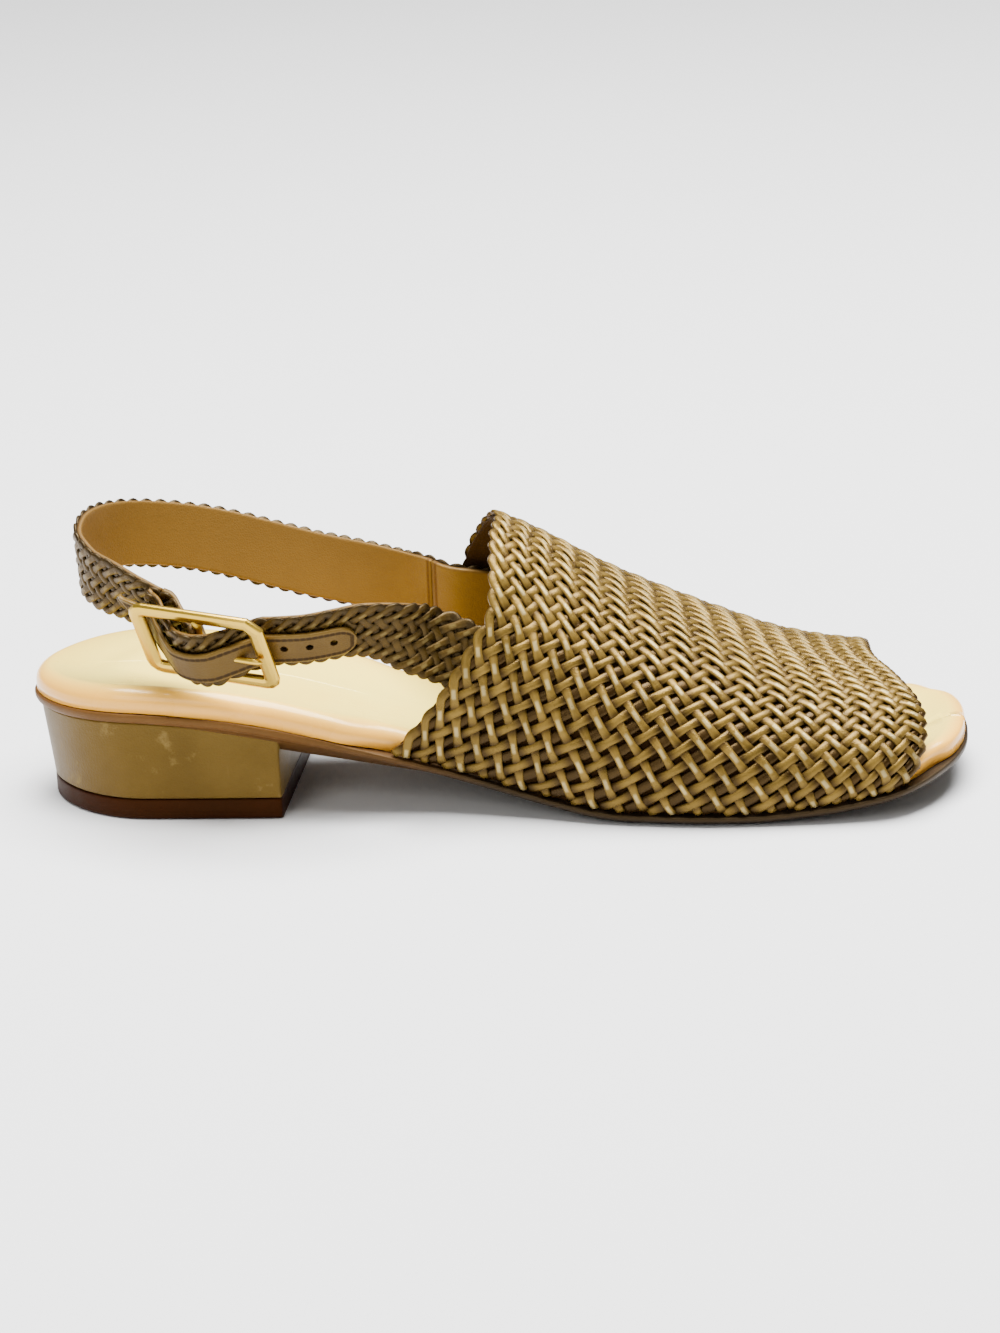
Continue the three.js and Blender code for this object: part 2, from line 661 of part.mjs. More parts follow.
// Strap line with its lean, on the outer face of the back strap
const strapPlaces = STRAP_LINE.map((row) => {
  const x = row.along * FOOT_LENGTH;
  const z = row.height * ANKLE_HEIGHT;
  if (row.across === null) {
    return insideUpper(x, z, row.side);
  }
  return {
    point: new THREE.Vector3(x, row.across * ANKLE_WIDTH, z),
    lean: row.lean * THREE.MathUtils.degToRad(STRAP_LEAN),
  };
});
const strapCurve = new THREE.CatmullRomCurve3(strapPlaces.map((place) => place.point));
const strapLength = strapCurve.getLength();
const strapLean = curveOf(strapPlaces.map((place, i) => ({ at: i, lean: place.lean })), 'at', 'lean');

// Axes of the strap line at a distance along it: back towards its start, up and out
function strapFrame(distance) {
  const t = strapCurve.getUtoTmapping(distance / strapLength);
  const along = strapCurve.getTangent(t);
  const level = new THREE.Vector3(0, 0, 1).cross(along).normalize();
  const upright = along.clone().cross(level);
  const lean = strapLean(t * (strapPlaces.length - 1));
  const out = level.clone().multiplyScalar(Math.cos(lean)).addScaledVector(upright, -Math.sin(lean));
  const up = upright.clone().multiplyScalar(Math.cos(lean)).addScaledVector(level, Math.sin(lean));
  return { centre: strapCurve.getPoint(t), back: along.negate(), up, out };
}

// Point off the strap line: up across the strap and out from its outer face
function offStrap(distance, up, out) {
  const frame = strapFrame(distance);
  return frame.centre.addScaledVector(frame.up, up).addScaledVector(frame.out, out);
}

// Layers at the buckle, outwards from the back strap's outer face
const FRONT_LAYER = STRAP_RIB + GAP + STRAP_THICKNESS;
const TAB_LAYER = STRAP_RIB + TAB_SEAT + TAB_THICKNESS;
const BAR_LEVEL = FRONT_LAYER + TAB_LAYER + 2 * GAP + BUCKLE_THICKNESS / 2;
const PRONG_LEVEL = BAR_LEVEL + CENTRE_BAR / 2 + GAP + PRONG_RADIUS;
const ARCH_HEIGHT = PRONG_LEVEL + PRONG_RADIUS + 2 * GAP + STRAP_THICKNESS - FRONT_LAYER;

const frontArch = curveOf(FRONT_STRAP, 'along', 'arch');
const frontSpread = curveOf(FRONT_STRAP, 'along', 'spread');
const frontWidth = curveOf(FRONT_STRAP, 'along', 'width');
const frontRise = curveOf(FRONT_STRAP, 'along', 'rise');
const chapeWidth = curveOf(CHAPE, 'along', 'width');
const chapeRise = curveOf(CHAPE, 'along', 'rise');

// Point of the front strap's outer face, at a distance and a height across its middle
function frontFace(distance, up) {
  const fromBuckle = (BUCKLE_AT - distance) / BUCKLE_LENGTH;
  const layer = FRONT_LAYER * (1 - frontSpread(fromBuckle));
  const rise = STRAP_WIDTH * frontRise(fromBuckle);
  return offStrap(distance, rise + up, layer + ARCH_HEIGHT * frontArch(fromBuckle));
}

// Woven strap between two distances, on a face of distance and height, with a width for each
// and a lining with a share of its rows
function wovenStrap(start, end, face, width, liningShare) {
  const rows = 2 * Math.round((end - start) / STRAP_ROW_PITCH / 2);
  const surface = (c, r) => {
    const distance = THREE.MathUtils.lerp(start, end, r);
    return face(distance, (c - 0.5) * width(distance));
  };
  return wovenWall({
    surface,
    columns: STRAP_COLUMNS,
    rows,
    wall: STRAP_THICKNESS,
    rib: STRAP_RIB,
    liningColumns: STRAP_COLUMNS / 2,
    liningRows: Math.round(rows * liningShare),
  });
}

// Place of the buckle: its own X towards the toe, Y up across the strap, Z out from the foot
function buckleMatrix() {
  const frame = strapFrame(BUCKLE_AT);
  const centre = frame.centre.clone().addScaledVector(frame.out, BAR_LEVEL);
  return new THREE.Matrix4().makeBasis(frame.back, frame.up, frame.out).setPosition(centre);
}

// Back strap: from the chape round the heel to the inner side of the upper
function heelStrap() {
  const start = BUCKLE_AT + CHAPE_LENGTH + GAP;
  const face = (distance, up) => offStrap(distance, up, 0);
  return wovenStrap(start, strapLength, face, () => STRAP_WIDTH, 0.5);
}

// Front strap: from the outer side of the upper through the buckle, slotted for the prong
function frontStrap() {
  const width = (distance) => STRAP_WIDTH * frontWidth((BUCKLE_AT - distance) / BUCKLE_LENGTH);
  const strap = wovenStrap(0, BUCKLE_AT + FRONT_STRAP_PAST, frontFace, width, 1);
  return cut(strap, [prongRoom()]);
}

// Straight round room for the prong where it passes the strap and the tab
function prongRoom() {
  const length = BUCKLE_LENGTH / 2 - PRONG_ROOM_START;
  const room = new THREE.CylinderGeometry(PRONG_RADIUS + GAP, PRONG_RADIUS + GAP, length, 8);
  room.rotateZ(Math.PI / 2);
  room.translate(PRONG_ROOM_START + length / 2, -TAB_DROP, PRONG_LEVEL - BAR_LEVEL);
  return room.applyMatrix4(buckleMatrix());
}

// Half width of the tab: pointed towards the heel and round towards the toe
function tabHalfWidth(distance) {
  const fromTip = (BUCKLE_AT + TAB_PAST - distance) / TAB_POINT;
  const fromRound = (distance - (BUCKLE_AT - TAB_BEFORE)) / (TAB_WIDTH / 2);
  const tip = THREE.MathUtils.clamp(fromTip, TAB_BLUNT, 1);
  return (TAB_WIDTH / 2) * tip * Math.max(capShare(fromRound, 2), TAB_BLUNT);
}

// Tab: smooth leather laid on the front strap, with its pinned hole and the spare holes
function holeTab() {
  const start = BUCKLE_AT - TAB_BEFORE;
  const end = BUCKLE_AT + TAB_PAST;
  const strapFace = (c, r) => {
    const distance = start + (end - start) * r;
    return frontFace(distance, (c - 0.5) * 2 * tabHalfWidth(distance) - TAB_DROP);
  };
  const surface = (c, r) => {
    const lift = surfaceNormal(strapFace, c, r).multiplyScalar(TAB_LAYER);
    return strapFace(c, r).add(lift);
  };
  const tab = wovenWall({
    surface,
    columns: 2,
    rows: TAB_STEPS,
    wall: TAB_THICKNESS,
    rib: 0,
    liningColumns: 2,
    liningRows: TAB_STEPS,
  });
  const holes = [];
  for (let i = 0; i < TAB_HOLES; i++) {
    holes.push(tabHole(BUCKLE_AT - TAB_FIRST_HOLE - TAB_HOLE_PITCH * i));
  }
  return cut(tab, [prongRoom(), ...holes]);
}

// Round punch through the tab at a distance along the strap line
function tabHole(distance) {
  const punch = new THREE.CylinderGeometry(TAB_HOLE_RADIUS, TAB_HOLE_RADIUS, 3 * TAB_THICKNESS, 8);
  const frame = strapFrame(distance);
  const surface = frontFace(distance, 0).addScaledVector(frame.out, TAB_LAYER - TAB_THICKNESS / 2);
  const place = new THREE.Matrix4().makeBasis(frame.up, frame.out, frame.back).setPosition(surface);
  return punch.applyMatrix4(place);
}

// Chape: leather folded round the centre bar and butted to the back strap
function chape() {
  const eye = CENTRE_BAR / 2 + GAP + CHAPE_THICKNESS;
  const start = BUCKLE_AT + CHAPE_LENGTH;
  const end = BUCKLE_AT + eye / 2;
  const surface = (c, r) => {
    const distance = THREE.MathUtils.lerp(end, start, r);
    const share = (distance - BUCKLE_AT) / CHAPE_LENGTH;
    const width = STRAP_WIDTH * chapeWidth(share);
    return offStrap(distance, (c - 0.5) * width, (BAR_LEVEL + CHAPE_THICKNESS) * chapeRise(share));
  };
  const tongue = wovenWall({
    surface,
    columns: 2,
    rows: CHAPE_STEPS,
    wall: 2 * CHAPE_THICKNESS,
    rib: 0,
    liningColumns: 2,
    liningRows: CHAPE_STEPS,
  });
  const span = STRAP_WIDTH * CHAPE[0].width;
  const local = (geometry) => geometry.applyMatrix4(buckleMatrix());
  const roll = local(new THREE.CylinderGeometry(eye, eye, span, 16));
  const bore = local(new THREE.CylinderGeometry(eye - CHAPE_THICKNESS, eye - CHAPE_THICKNESS, 2 * span, 16));
  const slotReach = 2 * (CENTRE_BAR / 2 + GAP + 2 * PRONG_RADIUS + GAP);
  const slotBox = new THREE.BoxGeometry(slotReach, 2 * (PRONG_RADIUS + GAP), slotReach);
  const slot = local(slotBox.translate(0, -TAB_DROP, 0));
  const folded = solidOf(tongue).add(solidOf(roll));
  return geometryFrom(folded.subtract(solidOf(bore)).subtract(solidOf(slot)));
}

// Rectangle with rounded corners, drawn on a shape or a hole
function roundedRectangle(path, centreX, width, height, radius) {
  const x = width / 2 - radius;
  const y = height / 2 - radius;
  path.absarc(centreX + x, y, radius, 0, Math.PI / 2);
  path.absarc(centreX - x, y, radius, Math.PI / 2, Math.PI);
  path.absarc(centreX - x, -y, radius, Math.PI, 1.5 * Math.PI);
  path.absarc(centreX + x, -y, radius, 1.5 * Math.PI, 2 * Math.PI);
  path.closePath();
  return path;
}

// Buckle frame: flat rounded bars round two windows, with the centre bar between them
function buckleFrame() {
  const windowHeight = BUCKLE_HEIGHT - 2 * BUCKLE_BAR;
  const windowLength = (BUCKLE_LENGTH - 2 * BUCKLE_BAR - CENTRE_BAR) / 2;
  const windowAt = (windowLength + CENTRE_BAR) / 2;
  const rim = BUCKLE_EDGE;
  const shape = roundedRectangle(
    new THREE.Shape(), 0, BUCKLE_LENGTH - 2 * rim, BUCKLE_HEIGHT - 2 * rim, BUCKLE_CORNER,
  );
  for (const side of [-1, 1]) {
    shape.holes.push(roundedRectangle(
      new THREE.Path(), side * windowAt, windowLength + 2 * rim, windowHeight + 2 * rim, BUCKLE_CORNER / 2,
    ));
  }
  const frame = new THREE.ExtrudeGeometry(shape, {
    depth: BUCKLE_THICKNESS - 2 * rim,
    bevelEnabled: true,
    bevelThickness: rim,
    bevelSize: rim,
    bevelSegments: 1,
    curveSegments: 3,
  });
  frame.translate(0, 0, -BUCKLE_THICKNESS / 2 + rim);
  return frame.applyMatrix4(buckleMatrix());
}

// Prong: round wire curled on the centre bar, its tip on the toe-side bar
function buckleProng() {
  const curl = CENTRE_BAR / 2 + GAP + PRONG_RADIUS;
  const points = [];
  for (let i = 0; i <= CURL_STEPS; i++) {
    const angle = THREE.MathUtils.lerp(CURL_START, CURL_END, i / CURL_STEPS);
    points.push(new THREE.Vector3(curl * Math.cos(angle), -TAB_DROP, curl * Math.sin(angle)));
  }
  points.push(new THREE.Vector3(BUCKLE_LENGTH / 4, -TAB_DROP, curl));
  points.push(new THREE.Vector3(BUCKLE_LENGTH / 2 - BUCKLE_BAR * PRONG_REST, -TAB_DROP, curl));
  const section = new THREE.Shape().absarc(0, 0, PRONG_RADIUS, 0, 2 * Math.PI);
  const prong = new THREE.ExtrudeGeometry(section, {
    extrudePath: new THREE.CatmullRomCurve3(points, false, 'centripetal'),
    steps: PRONG_STEPS,
    curveSegments: 4,
    bevelEnabled: false,
  });
  return prong.applyMatrix4(buckleMatrix());
}

// Named mesh with its own material
function piece(name, geometry, colour, roughness, metalness = 0) {
  const faceted = geometry.index ? geometry.toNonIndexed() : geometry;
  faceted.computeVertexNormals();
  const material = new THREE.MeshStandardMaterial({ color: colour, roughness, metalness });
  const mesh = new THREE.Mesh(faceted, material);
  mesh.name = name;
  return mesh;
}

const group = new THREE.Group();
group.add(
  piece('outsole', outsole(), 0x5a3a22, 0.6),
  piece('footbed', footbed(), 0xe8c98e, 0.4),
  piece('heel_block', heelBlock(), 0x96805a, 0.5),
  piece('heel_top_lift', heelTopLift(), 0x46230a, 0.7),
  piece('upper', upper(), 0x8c7748, 0.45),
  piece('heel_strap', heelStrap(), 0x8c7748, 0.45),
  piece('front_strap', frontStrap(), 0x8c7748, 0.45),
  piece('hole_tab', holeTab(), 0xa08a5c, 0.5),
  piece('chape', chape(), 0xa08a5c, 0.5),
  piece('buckle_frame', buckleFrame(), 0xd8b060, 0.3, 1),
  piece('buckle_prong', buckleProng(), 0xd8b060, 0.3, 1),
);

// The origin is the middle of the footprint's box, on the ground
const box = new THREE.Box3().setFromObject(group);
const centre = box.getCenter(new THREE.Vector3());
group.position.set(-centre.x, -centre.y, -box.min.z);

export default group;
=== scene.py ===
"""Woven open-toe slingback on a low block heel: its look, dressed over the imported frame."""

import logging
import math
from dataclasses import dataclass
from enum import Enum
from typing import Callable, Sequence

import bmesh
import bpy
import numpy as np
from mathutils import Matrix, Vector


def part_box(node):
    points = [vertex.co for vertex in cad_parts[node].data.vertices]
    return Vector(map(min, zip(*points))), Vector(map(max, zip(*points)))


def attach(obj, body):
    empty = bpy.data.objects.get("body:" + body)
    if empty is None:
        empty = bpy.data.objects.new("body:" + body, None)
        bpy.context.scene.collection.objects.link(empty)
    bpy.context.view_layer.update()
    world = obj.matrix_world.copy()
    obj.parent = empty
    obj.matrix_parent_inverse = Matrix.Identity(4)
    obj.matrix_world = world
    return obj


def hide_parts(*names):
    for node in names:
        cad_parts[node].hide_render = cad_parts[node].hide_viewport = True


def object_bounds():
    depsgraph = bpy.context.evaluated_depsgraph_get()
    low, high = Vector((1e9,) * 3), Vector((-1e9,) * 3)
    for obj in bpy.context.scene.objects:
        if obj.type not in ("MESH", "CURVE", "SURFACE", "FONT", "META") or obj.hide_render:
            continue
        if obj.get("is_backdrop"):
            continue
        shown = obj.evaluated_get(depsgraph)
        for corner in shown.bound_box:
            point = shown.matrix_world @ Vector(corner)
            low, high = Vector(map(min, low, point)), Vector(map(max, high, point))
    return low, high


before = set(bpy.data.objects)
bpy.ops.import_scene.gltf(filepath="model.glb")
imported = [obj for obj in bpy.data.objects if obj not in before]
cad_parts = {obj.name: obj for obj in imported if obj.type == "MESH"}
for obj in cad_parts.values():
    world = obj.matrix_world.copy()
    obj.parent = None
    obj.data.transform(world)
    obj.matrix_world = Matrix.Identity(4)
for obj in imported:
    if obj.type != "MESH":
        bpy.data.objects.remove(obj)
CAD_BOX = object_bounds()
LOG = logging.getLogger("slingback")
MM = 0.001
BODY = "root"
TINY = 1e-12
Array = np.ndarray
Colour = tuple[float, float, float]


class Side(Enum):
    """Side of the foot, by the sign of Y."""

    OUTER = -1
    INNER = 1


# ---- shape of the shoe, in millimetres from the back of the sole ----


class Curve:
    """Smooth reading of a table's column that never overshoots its rows."""

    def __init__(self, at: Sequence[float], value: Sequence[float]) -> None:
        """Prepares the curve.

        Args:
            at: rising places of the rows.
            value: value of each row.
        """
        self.at = np.asarray(at, float)
        self.value = np.asarray(value, float)
        slopes = np.diff(self.value) / np.diff(self.at)
        before = np.concatenate([slopes[:1], slopes])
        after = np.concatenate([slopes, slopes[-1:]])
        total = np.where(before * after > 0, before + after, 1)
        self.tangent = np.where(before * after > 0, 2 * before * after / total, 0)

    def __call__(self, x: Array | float) -> Array:
        """Reads the curve.

        Args:
            x: places to read.

        Returns:
            Its values there.
        """
        x = np.asarray(x, float)
        i = np.clip(np.searchsorted(self.at, x, side="left") - 1, 0, len(self.at) - 2)
        span = self.at[i + 1] - self.at[i]
        t = np.clip((x - self.at[i]) / span, 0, 1)
        ease = t * t * (3 - 2 * t)
        leave = t * (1 - t) ** 2 * span * self.tangent[i]
        arrive = t * t * (1 - t) * span * self.tangent[i + 1]
        return self.value[i] + (self.value[i + 1] - self.value[i]) * ease + leave - arrive


def columns(*rows: tuple[float, ...]) -> list[Curve]:
    """Returns one curve for each column of a table after the first, which is the place of each row."""
    table = np.array(rows, float)
    return [Curve(table[:, 0], table[:, k]) for k in range(1, table.shape[1])]


def unit(vectors: Array) -> Array:
    """Returns the vectors with length one."""
    return vectors / np.maximum(np.linalg.norm(vectors, axis=-1, keepdims=True), TINY)


@dataclass
class SoleForm:
    """Outline and levels of the sole."""

    length: float = 268.0
    ball_width: float = 90.0
    heel_height: float = 28.4
    toe_spring: float = 9.0
    thickness: float = 2.8
    heel_cap: float = 32.0
    toe_cap: float = 27.0
    toe_fullness: float = 2.33
    gap: float = 0.3

    def __post_init__(self) -> None:
        """Reads the tables of the outline and the profile."""
        self.outer, self.inner = columns(
            (0, .29, .30), (.06, .33, .33), (.14, .355, .34), (.24, .36, .335), (.34, .362, .312),
            (.44, .352, .315), (.54, .39, .375), (.64, .458, .46), (.74, .488, .505),
            (.84, .476, .522), (.93, .44, .53), (1, .36, .45),
        )
        self.heel_share, self.toe_share = columns(
            (0, .995, 0), (.1, 1.02, 0), (.2, .955, 0), (.27, .85, 0), (.34, .685, 0),
            (.42, .47, 0), (.5, .265, 0), (.57, .1, 0), (.62, .02, 0), (.65, 0, 0), (.77, 0, 0),
            (.84, 0, .15), (.91, 0, .45), (1, 0, 1),
        )

    @staticmethod
    def cap(from_end: Array, fullness: float) -> Array:
        """Returns the share of the width left near an end."""
        left = 1 - np.clip(1 - from_end, 0, 1) ** fullness
        return left ** (1 / fullness)

    def half_width(self, x: Array, side: Array | int, inset: Array | float = 0.0) -> Array:
        """Half width of the sole.

        Args:
            x: places along the foot.
            side: -1 for the outer side, 1 for the inner side.
            inset: how far the outline is drawn in.

        Returns:
            The half widths.
        """
        x = np.asarray(x, float)
        share = np.where(np.asarray(side) < 0, self.outer(x / self.length), self.inner(x / self.length))
        heel = self.cap((x - inset) / (self.heel_cap - inset), 2)
        toe = self.cap((self.length - inset - x) / (self.toe_cap - inset), self.toe_fullness)
        return (share * self.ball_width - inset) * heel * toe

    def bottom(self, x: Array) -> Array:
        """Returns the height of the underside of the outsole."""
        along = np.asarray(x, float) / self.length
        return self.heel_share(along) * self.heel_height + self.toe_share(along) * self.toe_spring

    def top(self, x: Array) -> Array:
        """Returns the height of the top of the outsole."""
        return self.bottom(x) + self.thickness

    def stations(self, inset: float, steps: int = 150) -> Array:
        """Places along the sole, close together round both ends.

        Args:
            inset: how far the outline is drawn in.
            steps: about how many places.

        Returns:
            The places, heel first.
        """
        end_steps, middle_steps = steps // 6, 4 * steps // 6
        turn = np.linspace(0, math.pi / 2, end_steps + 1)
        heel = inset + (self.heel_cap - inset) * (1 - np.cos(turn))
        reach = np.cos(turn[::-1]) ** (2 / self.toe_fullness)
        toe_start = self.length - self.toe_cap
        toe = toe_start + (self.toe_cap - inset) * reach
        middle = np.linspace(self.heel_cap, toe_start, middle_steps + 1)
        return np.concatenate([heel[:-1], middle[:-1], toe])

    def loop(self, stations: Array, inset: Callable[[Array], Array],
             height: Callable[[Array, Array], Array], squeeze: float = 1.0) -> Array:
        """Loop of points round the sole, outer side to the toe and back on the inner side.

        Args:
            stations: places along the foot.
            inset: how far the loop is drawn in at each place.
            height: level of the loop at x and y.
            squeeze: share of the width that is kept.

        Returns:
            Points of the loop.
        """
        points = []
        for side, xs in ((-1, stations), (1, stations[-2:0:-1])):
            y = side * self.half_width(xs, side, inset(xs)) * squeeze
            points.append(np.stack([xs, y, height(xs, y) + 0 * xs], axis=-1))
        return np.concatenate(points)


@dataclass
class VampForm:
    """Surface of the woven vamp, read at shares of its reach and its girth."""

    sole: SoleForm
    instep: float = 78.5
    shift: float = 4.0
    outer_bulge: float = 0.13
    inner_bulge: float = 0.2
    inset: float = 0.8
    section_steps: int = 96

    def __post_init__(self) -> None:
        """Reads the tables of the crest and the two edges."""
        self.crest, self.crest_shift, self.fullness, self.bulge = columns(
            (.36, 1.17, .2, 2.25, 1), (.46, 1.06, .3, 2.25, 1), (.51, .99, .4, 2.25, 1),
            (.56, .9, .5, 2.25, .85), (.62, .775, .6, 2.25, .65), (.68, .67, .7, 2.3, .5),
            (.74, .575, .8, 2.35, .4), (.8, .49, .9, 2.4, .35), (.86, .44, 1, 2.4, .3),
            (.9, .42, 1, 2.4, .3), (.95, .385, 1, 2.4, .3), (1, .34, 1, 2.4, .3),
        )
        self.throat, self.toe = columns(
            (0, .397, .941), (.06, .424, .955), (.12, .449, .96), (.18, .471, .959),
            (.24, .491, .955), (.3, .507, .947), (.36, .508, .936), (.44, .506, .92),
            (.5, .508, .907), (.56, .5, .9), (.64, .481, .896), (.74, .459, .893),
            (.86, .452, .89), (1, .43, .885),
        )

    def section(self, x: Array) -> Array:
        """Cross-sections of the vamp.

        Args:
            x: places along the foot.

        Returns:
            One row of points per place, from the outer base over the crest.
        """
        x = np.asarray(x, float)[..., None]
        along = x / self.sole.length
        angle = np.linspace(0, math.pi, self.section_steps + 1)
        side = np.sign(-np.cos(angle))
        power = 2 / self.fullness(along)
        across = np.abs(np.cos(angle)) ** power
        rise = np.sin(angle).clip(0) ** power
        bulge = np.where(side < 0, self.outer_bulge, self.inner_bulge) * self.bulge(along)
        edge = side * self.sole.half_width(x, side, self.inset) * (1 + bulge * np.sin(math.pi * rise))
        shift = self.shift * self.crest_shift(along)
        base = self.sole.top(x) + 2 * self.sole.gap
        height = base + (self.instep * self.crest(along) - base) * rise
        return np.stack([x + 0 * edge, shift + (edge - shift) * across, height], axis=-1)

    def points(self, reach: Array, girth: Array) -> Array:
        """Points of the vamp's surface.

        Args:
            reach: shares of the way from the throat to the toe.
            girth: shares of the way over the crest.

        Returns:
            The points.
        """
        along = self.throat(girth) + (self.toe(girth) - self.throat(girth)) * reach
        chain = self.section(along * self.sole.length)
        steps = np.linalg.norm(np.diff(chain, axis=-2), axis=-1)
        lengths = np.concatenate([0 * steps[..., :1], np.cumsum(steps, axis=-1)], axis=-1)
        want = np.clip(girth, 0, 1) * lengths[..., -1]
        i = np.clip((lengths <= want[..., None]).sum(axis=-1) - 1, 0, self.section_steps - 1)[..., None]
        low = np.take_along_axis(lengths, i, axis=-1)
        high = np.take_along_axis(lengths, i + 1, axis=-1)
        share = (want[..., None] - low) / np.maximum(high - low, TINY)
        start = np.take_along_axis(chain, i[..., None], axis=-2)[..., 0, :]
        end = np.take_along_axis(chain, i[..., None] + 1, axis=-2)[..., 0, :]
        return start + (end - start) * share

    def inside(self, x: float, z: float, side: Side, width: float, depth: float) -> tuple[Array, float]:
        """Place and lean of a strap that lies flat inside a flank.

        Args:
            x: place along the foot.
            z: height of the strap's middle.
            side: flank that the strap lies in.
            width: strap's width.
            depth: distance from the flank's outer face.

        Returns:
            The point and the lean angle.
        """
        section = self.section(np.array([x]))[0]
        half = self.section_steps // 2
        flank = section[: half + 1] if side is Side.OUTER else section[half:][::-1]
        low, high = (
            np.array([np.interp(level, flank[:, 2], flank[:, k]) for k in range(3)])
            for level in (z - width / 2, z + width / 2)
        )
        lean = math.atan2(side.value * (high[1] - low[1]), high[2] - low[2])
        inward = np.array([0, -side.value * math.cos(lean), math.sin(lean)])
        return (low + high) / 2 + inward * depth, lean


@dataclass
class StrapForm:
    """Line of the straps round the heel, and the faces that are laid on it."""

    vamp: VampForm
    width: float = 19.5
    thickness: float = 2.2
    rib: float = 0.6
    ankle_width: float = 71.0
    ankle_height: float = 71.0
    full_lean: float = math.radians(28)
    buckle_at: float = 86.0
    buckle_length: float = 42.0
    bar_thickness: float = 2.4
    centre_bar: float = 2.4
    prong: float = 1.0
    tab_seat: float = 0.8
    tab_thickness: float = 1.2
    front_past: float = 20.0
    chape_length: float = 17.0
    gap: float = 0.3
    vamp_wall: float = 2.2
    play: float = 0.6

    def __post_init__(self) -> None:
        """Traces the strap line and reads the front strap's table."""
        depth = self.vamp_wall + self.gap + self.rib + self.play
        length = self.vamp.sole.length
        # share of the foot's length, side, share of the ankle's width (none inside the vamp), share of its
        # height, share of the full lean
        rows = (
            (.519, -1, None, .585, 0), (.487, -1, None, .641, 0), (.455, -1, None, .699, 0),
            (.414, -1, -.465, .766, .6), (.382, -1, -.501, .792, .95), (.354, -1, -.52, .796, 1.05),
            (.328, -1, -.531, .796, 1.05), (.299, -1, -.534, .796, 1), (.269, -1, -.517, .797, 1),
            (.227, -1, -.458, .806, 1), (.185, -1, -.399, .815, 1), (.16, -1, -.361, .838, .95),
            (.137, -1, -.324, .87, .85), (.111, -1, -.27, .904, .65), (.083, -1, -.197, .932, .4),
            (.064, -1, -.099, .969, .15), (.06, 1, .007, .994, .05), (.065, 1, .127, 1, .1),
            (.083, 1, .261, .986, .3), (.113, 1, .377, .955, .5), (.155, 1, .459, .913, .6),
            (.196, 1, .5, .869, .65), (.243, 1, .518, .814, .65), (.291, 1, .521, .763, .6),
            (.343, 1, .507, .724, .45), (.392, 1, .47, .694, .15), (.42, 1, .418, .692, -.15),
            (.45, 1, None, .686, 0), (.493, 1, None, .66, 0), (.519, 1, None, .64, 0),
        )
        places, leans = [], []
        for along, side, across, height, lean in rows:
            x, z = along * length, height * self.ankle_height
            if across is None:
                place, angle = self.vamp.inside(x, z, Side(side), self.width, depth)
            else:
                place, angle = np.array([x, across * self.ankle_width, z]), lean * self.full_lean
            places.append(place)
            leans.append(angle)
        self.lean = Curve(range(len(leans)), leans)
        self.trace(np.array(places))
        self.arch, self.spread, self.share, self.rise = columns(
            (-.8, -.26, 0, .92, .4), (-.6, 0, 0, .92, .26), (-.5, 0, 0, .92, .15),
            (-.41, 0, 0, .92, .05), (-.3, .25, 0, .92, 0), (-.2, .62, 0, .93, 0),
            (-.1, .93, 0, 1, 0), (0, 1, 0, 1, 0), (.1, .93, 0, 1, 0), (.2, .62, 0, .93, 0),
            (.3, .25, 0, .92, 0), (.41, 0, 0, .92, 0), (.6, 0, .1, .95, 0), (1.05, 0, 1, 1, 0),
            (1.7, 0, 1, 1.04, 0), (2.4, 0, 1, 1, 0),
        )
        self.front_layer = self.rib + self.gap + self.thickness
        self.tab_layer = self.rib + self.tab_seat + self.tab_thickness
        self.bar_level = self.front_layer + self.tab_layer + 2 * self.gap + self.bar_thickness / 2
        self.prong_level = self.bar_level + self.centre_bar / 2 + self.gap + self.prong
        self.arch_height = self.prong_level + self.prong + 2 * self.gap + self.thickness - self.front_layer

    def trace(self, places: Array, steps: int = 40) -> None:
        """Runs a centripetal spline through the places and measures it.

        Args:
            places: points on the line.
            steps: samples between two points.
        """
        ends = np.vstack([2 * places[0] - places[1], places, 2 * places[-1] - places[-2]])
        t = np.arange(steps)[:, None] / steps
        chain = []
        for p0, p1, p2, p3 in zip(ends, ends[1:], ends[2:], ends[3:]):
            d0, d1, d2 = (math.sqrt(np.linalg.norm(b - a)) for a, b in ((p0, p1), (p1, p2), (p2, p3)))
            leave = ((p1 - p0) / d0 - (p2 - p0) / (d0 + d1) + (p2 - p1) / d1) * d1
            arrive = ((p2 - p1) / d1 - (p3 - p1) / (d1 + d2) + (p3 - p2) / d2) * d1
            chain.append(
                p1 + leave * t + (3 * (p2 - p1) - 2 * leave - arrive) * t**2
                + (2 * (p1 - p2) + leave + arrive) * t**3
            )
        self.chain = np.vstack(chain + [places[-1:]])
        steps_along = np.linalg.norm(np.diff(self.chain, axis=0), axis=1)
        self.run = np.concatenate([[0], np.cumsum(steps_along)])
        self.length = float(self.run[-1])
        self.place = np.arange(len(self.chain)) / steps
        self.tangent = unit(np.gradient(self.chain, self.run, axis=0))

    def frame(self, distance: Array) -> tuple[Array, Array, Array, Array]:
        """Axes of the strap line.

        Args:
            distance: places along the line.

        Returns:
            Centre, and the directions back, up and out, at each place.
        """
        read = lambda table: np.stack([np.interp(distance, self.run, table[:, k]) for k in range(3)], -1)
        centre, along = read(self.chain), unit(read(self.tangent))
        level = unit(np.cross([0, 0, 1], along))
        upright = np.cross(along, level)
        lean = self.lean(np.interp(distance, self.run, self.place))[..., None]
        out = level * np.cos(lean) - upright * np.sin(lean)
        up = upright * np.cos(lean) + level * np.sin(lean)
        return centre, -along, up, out

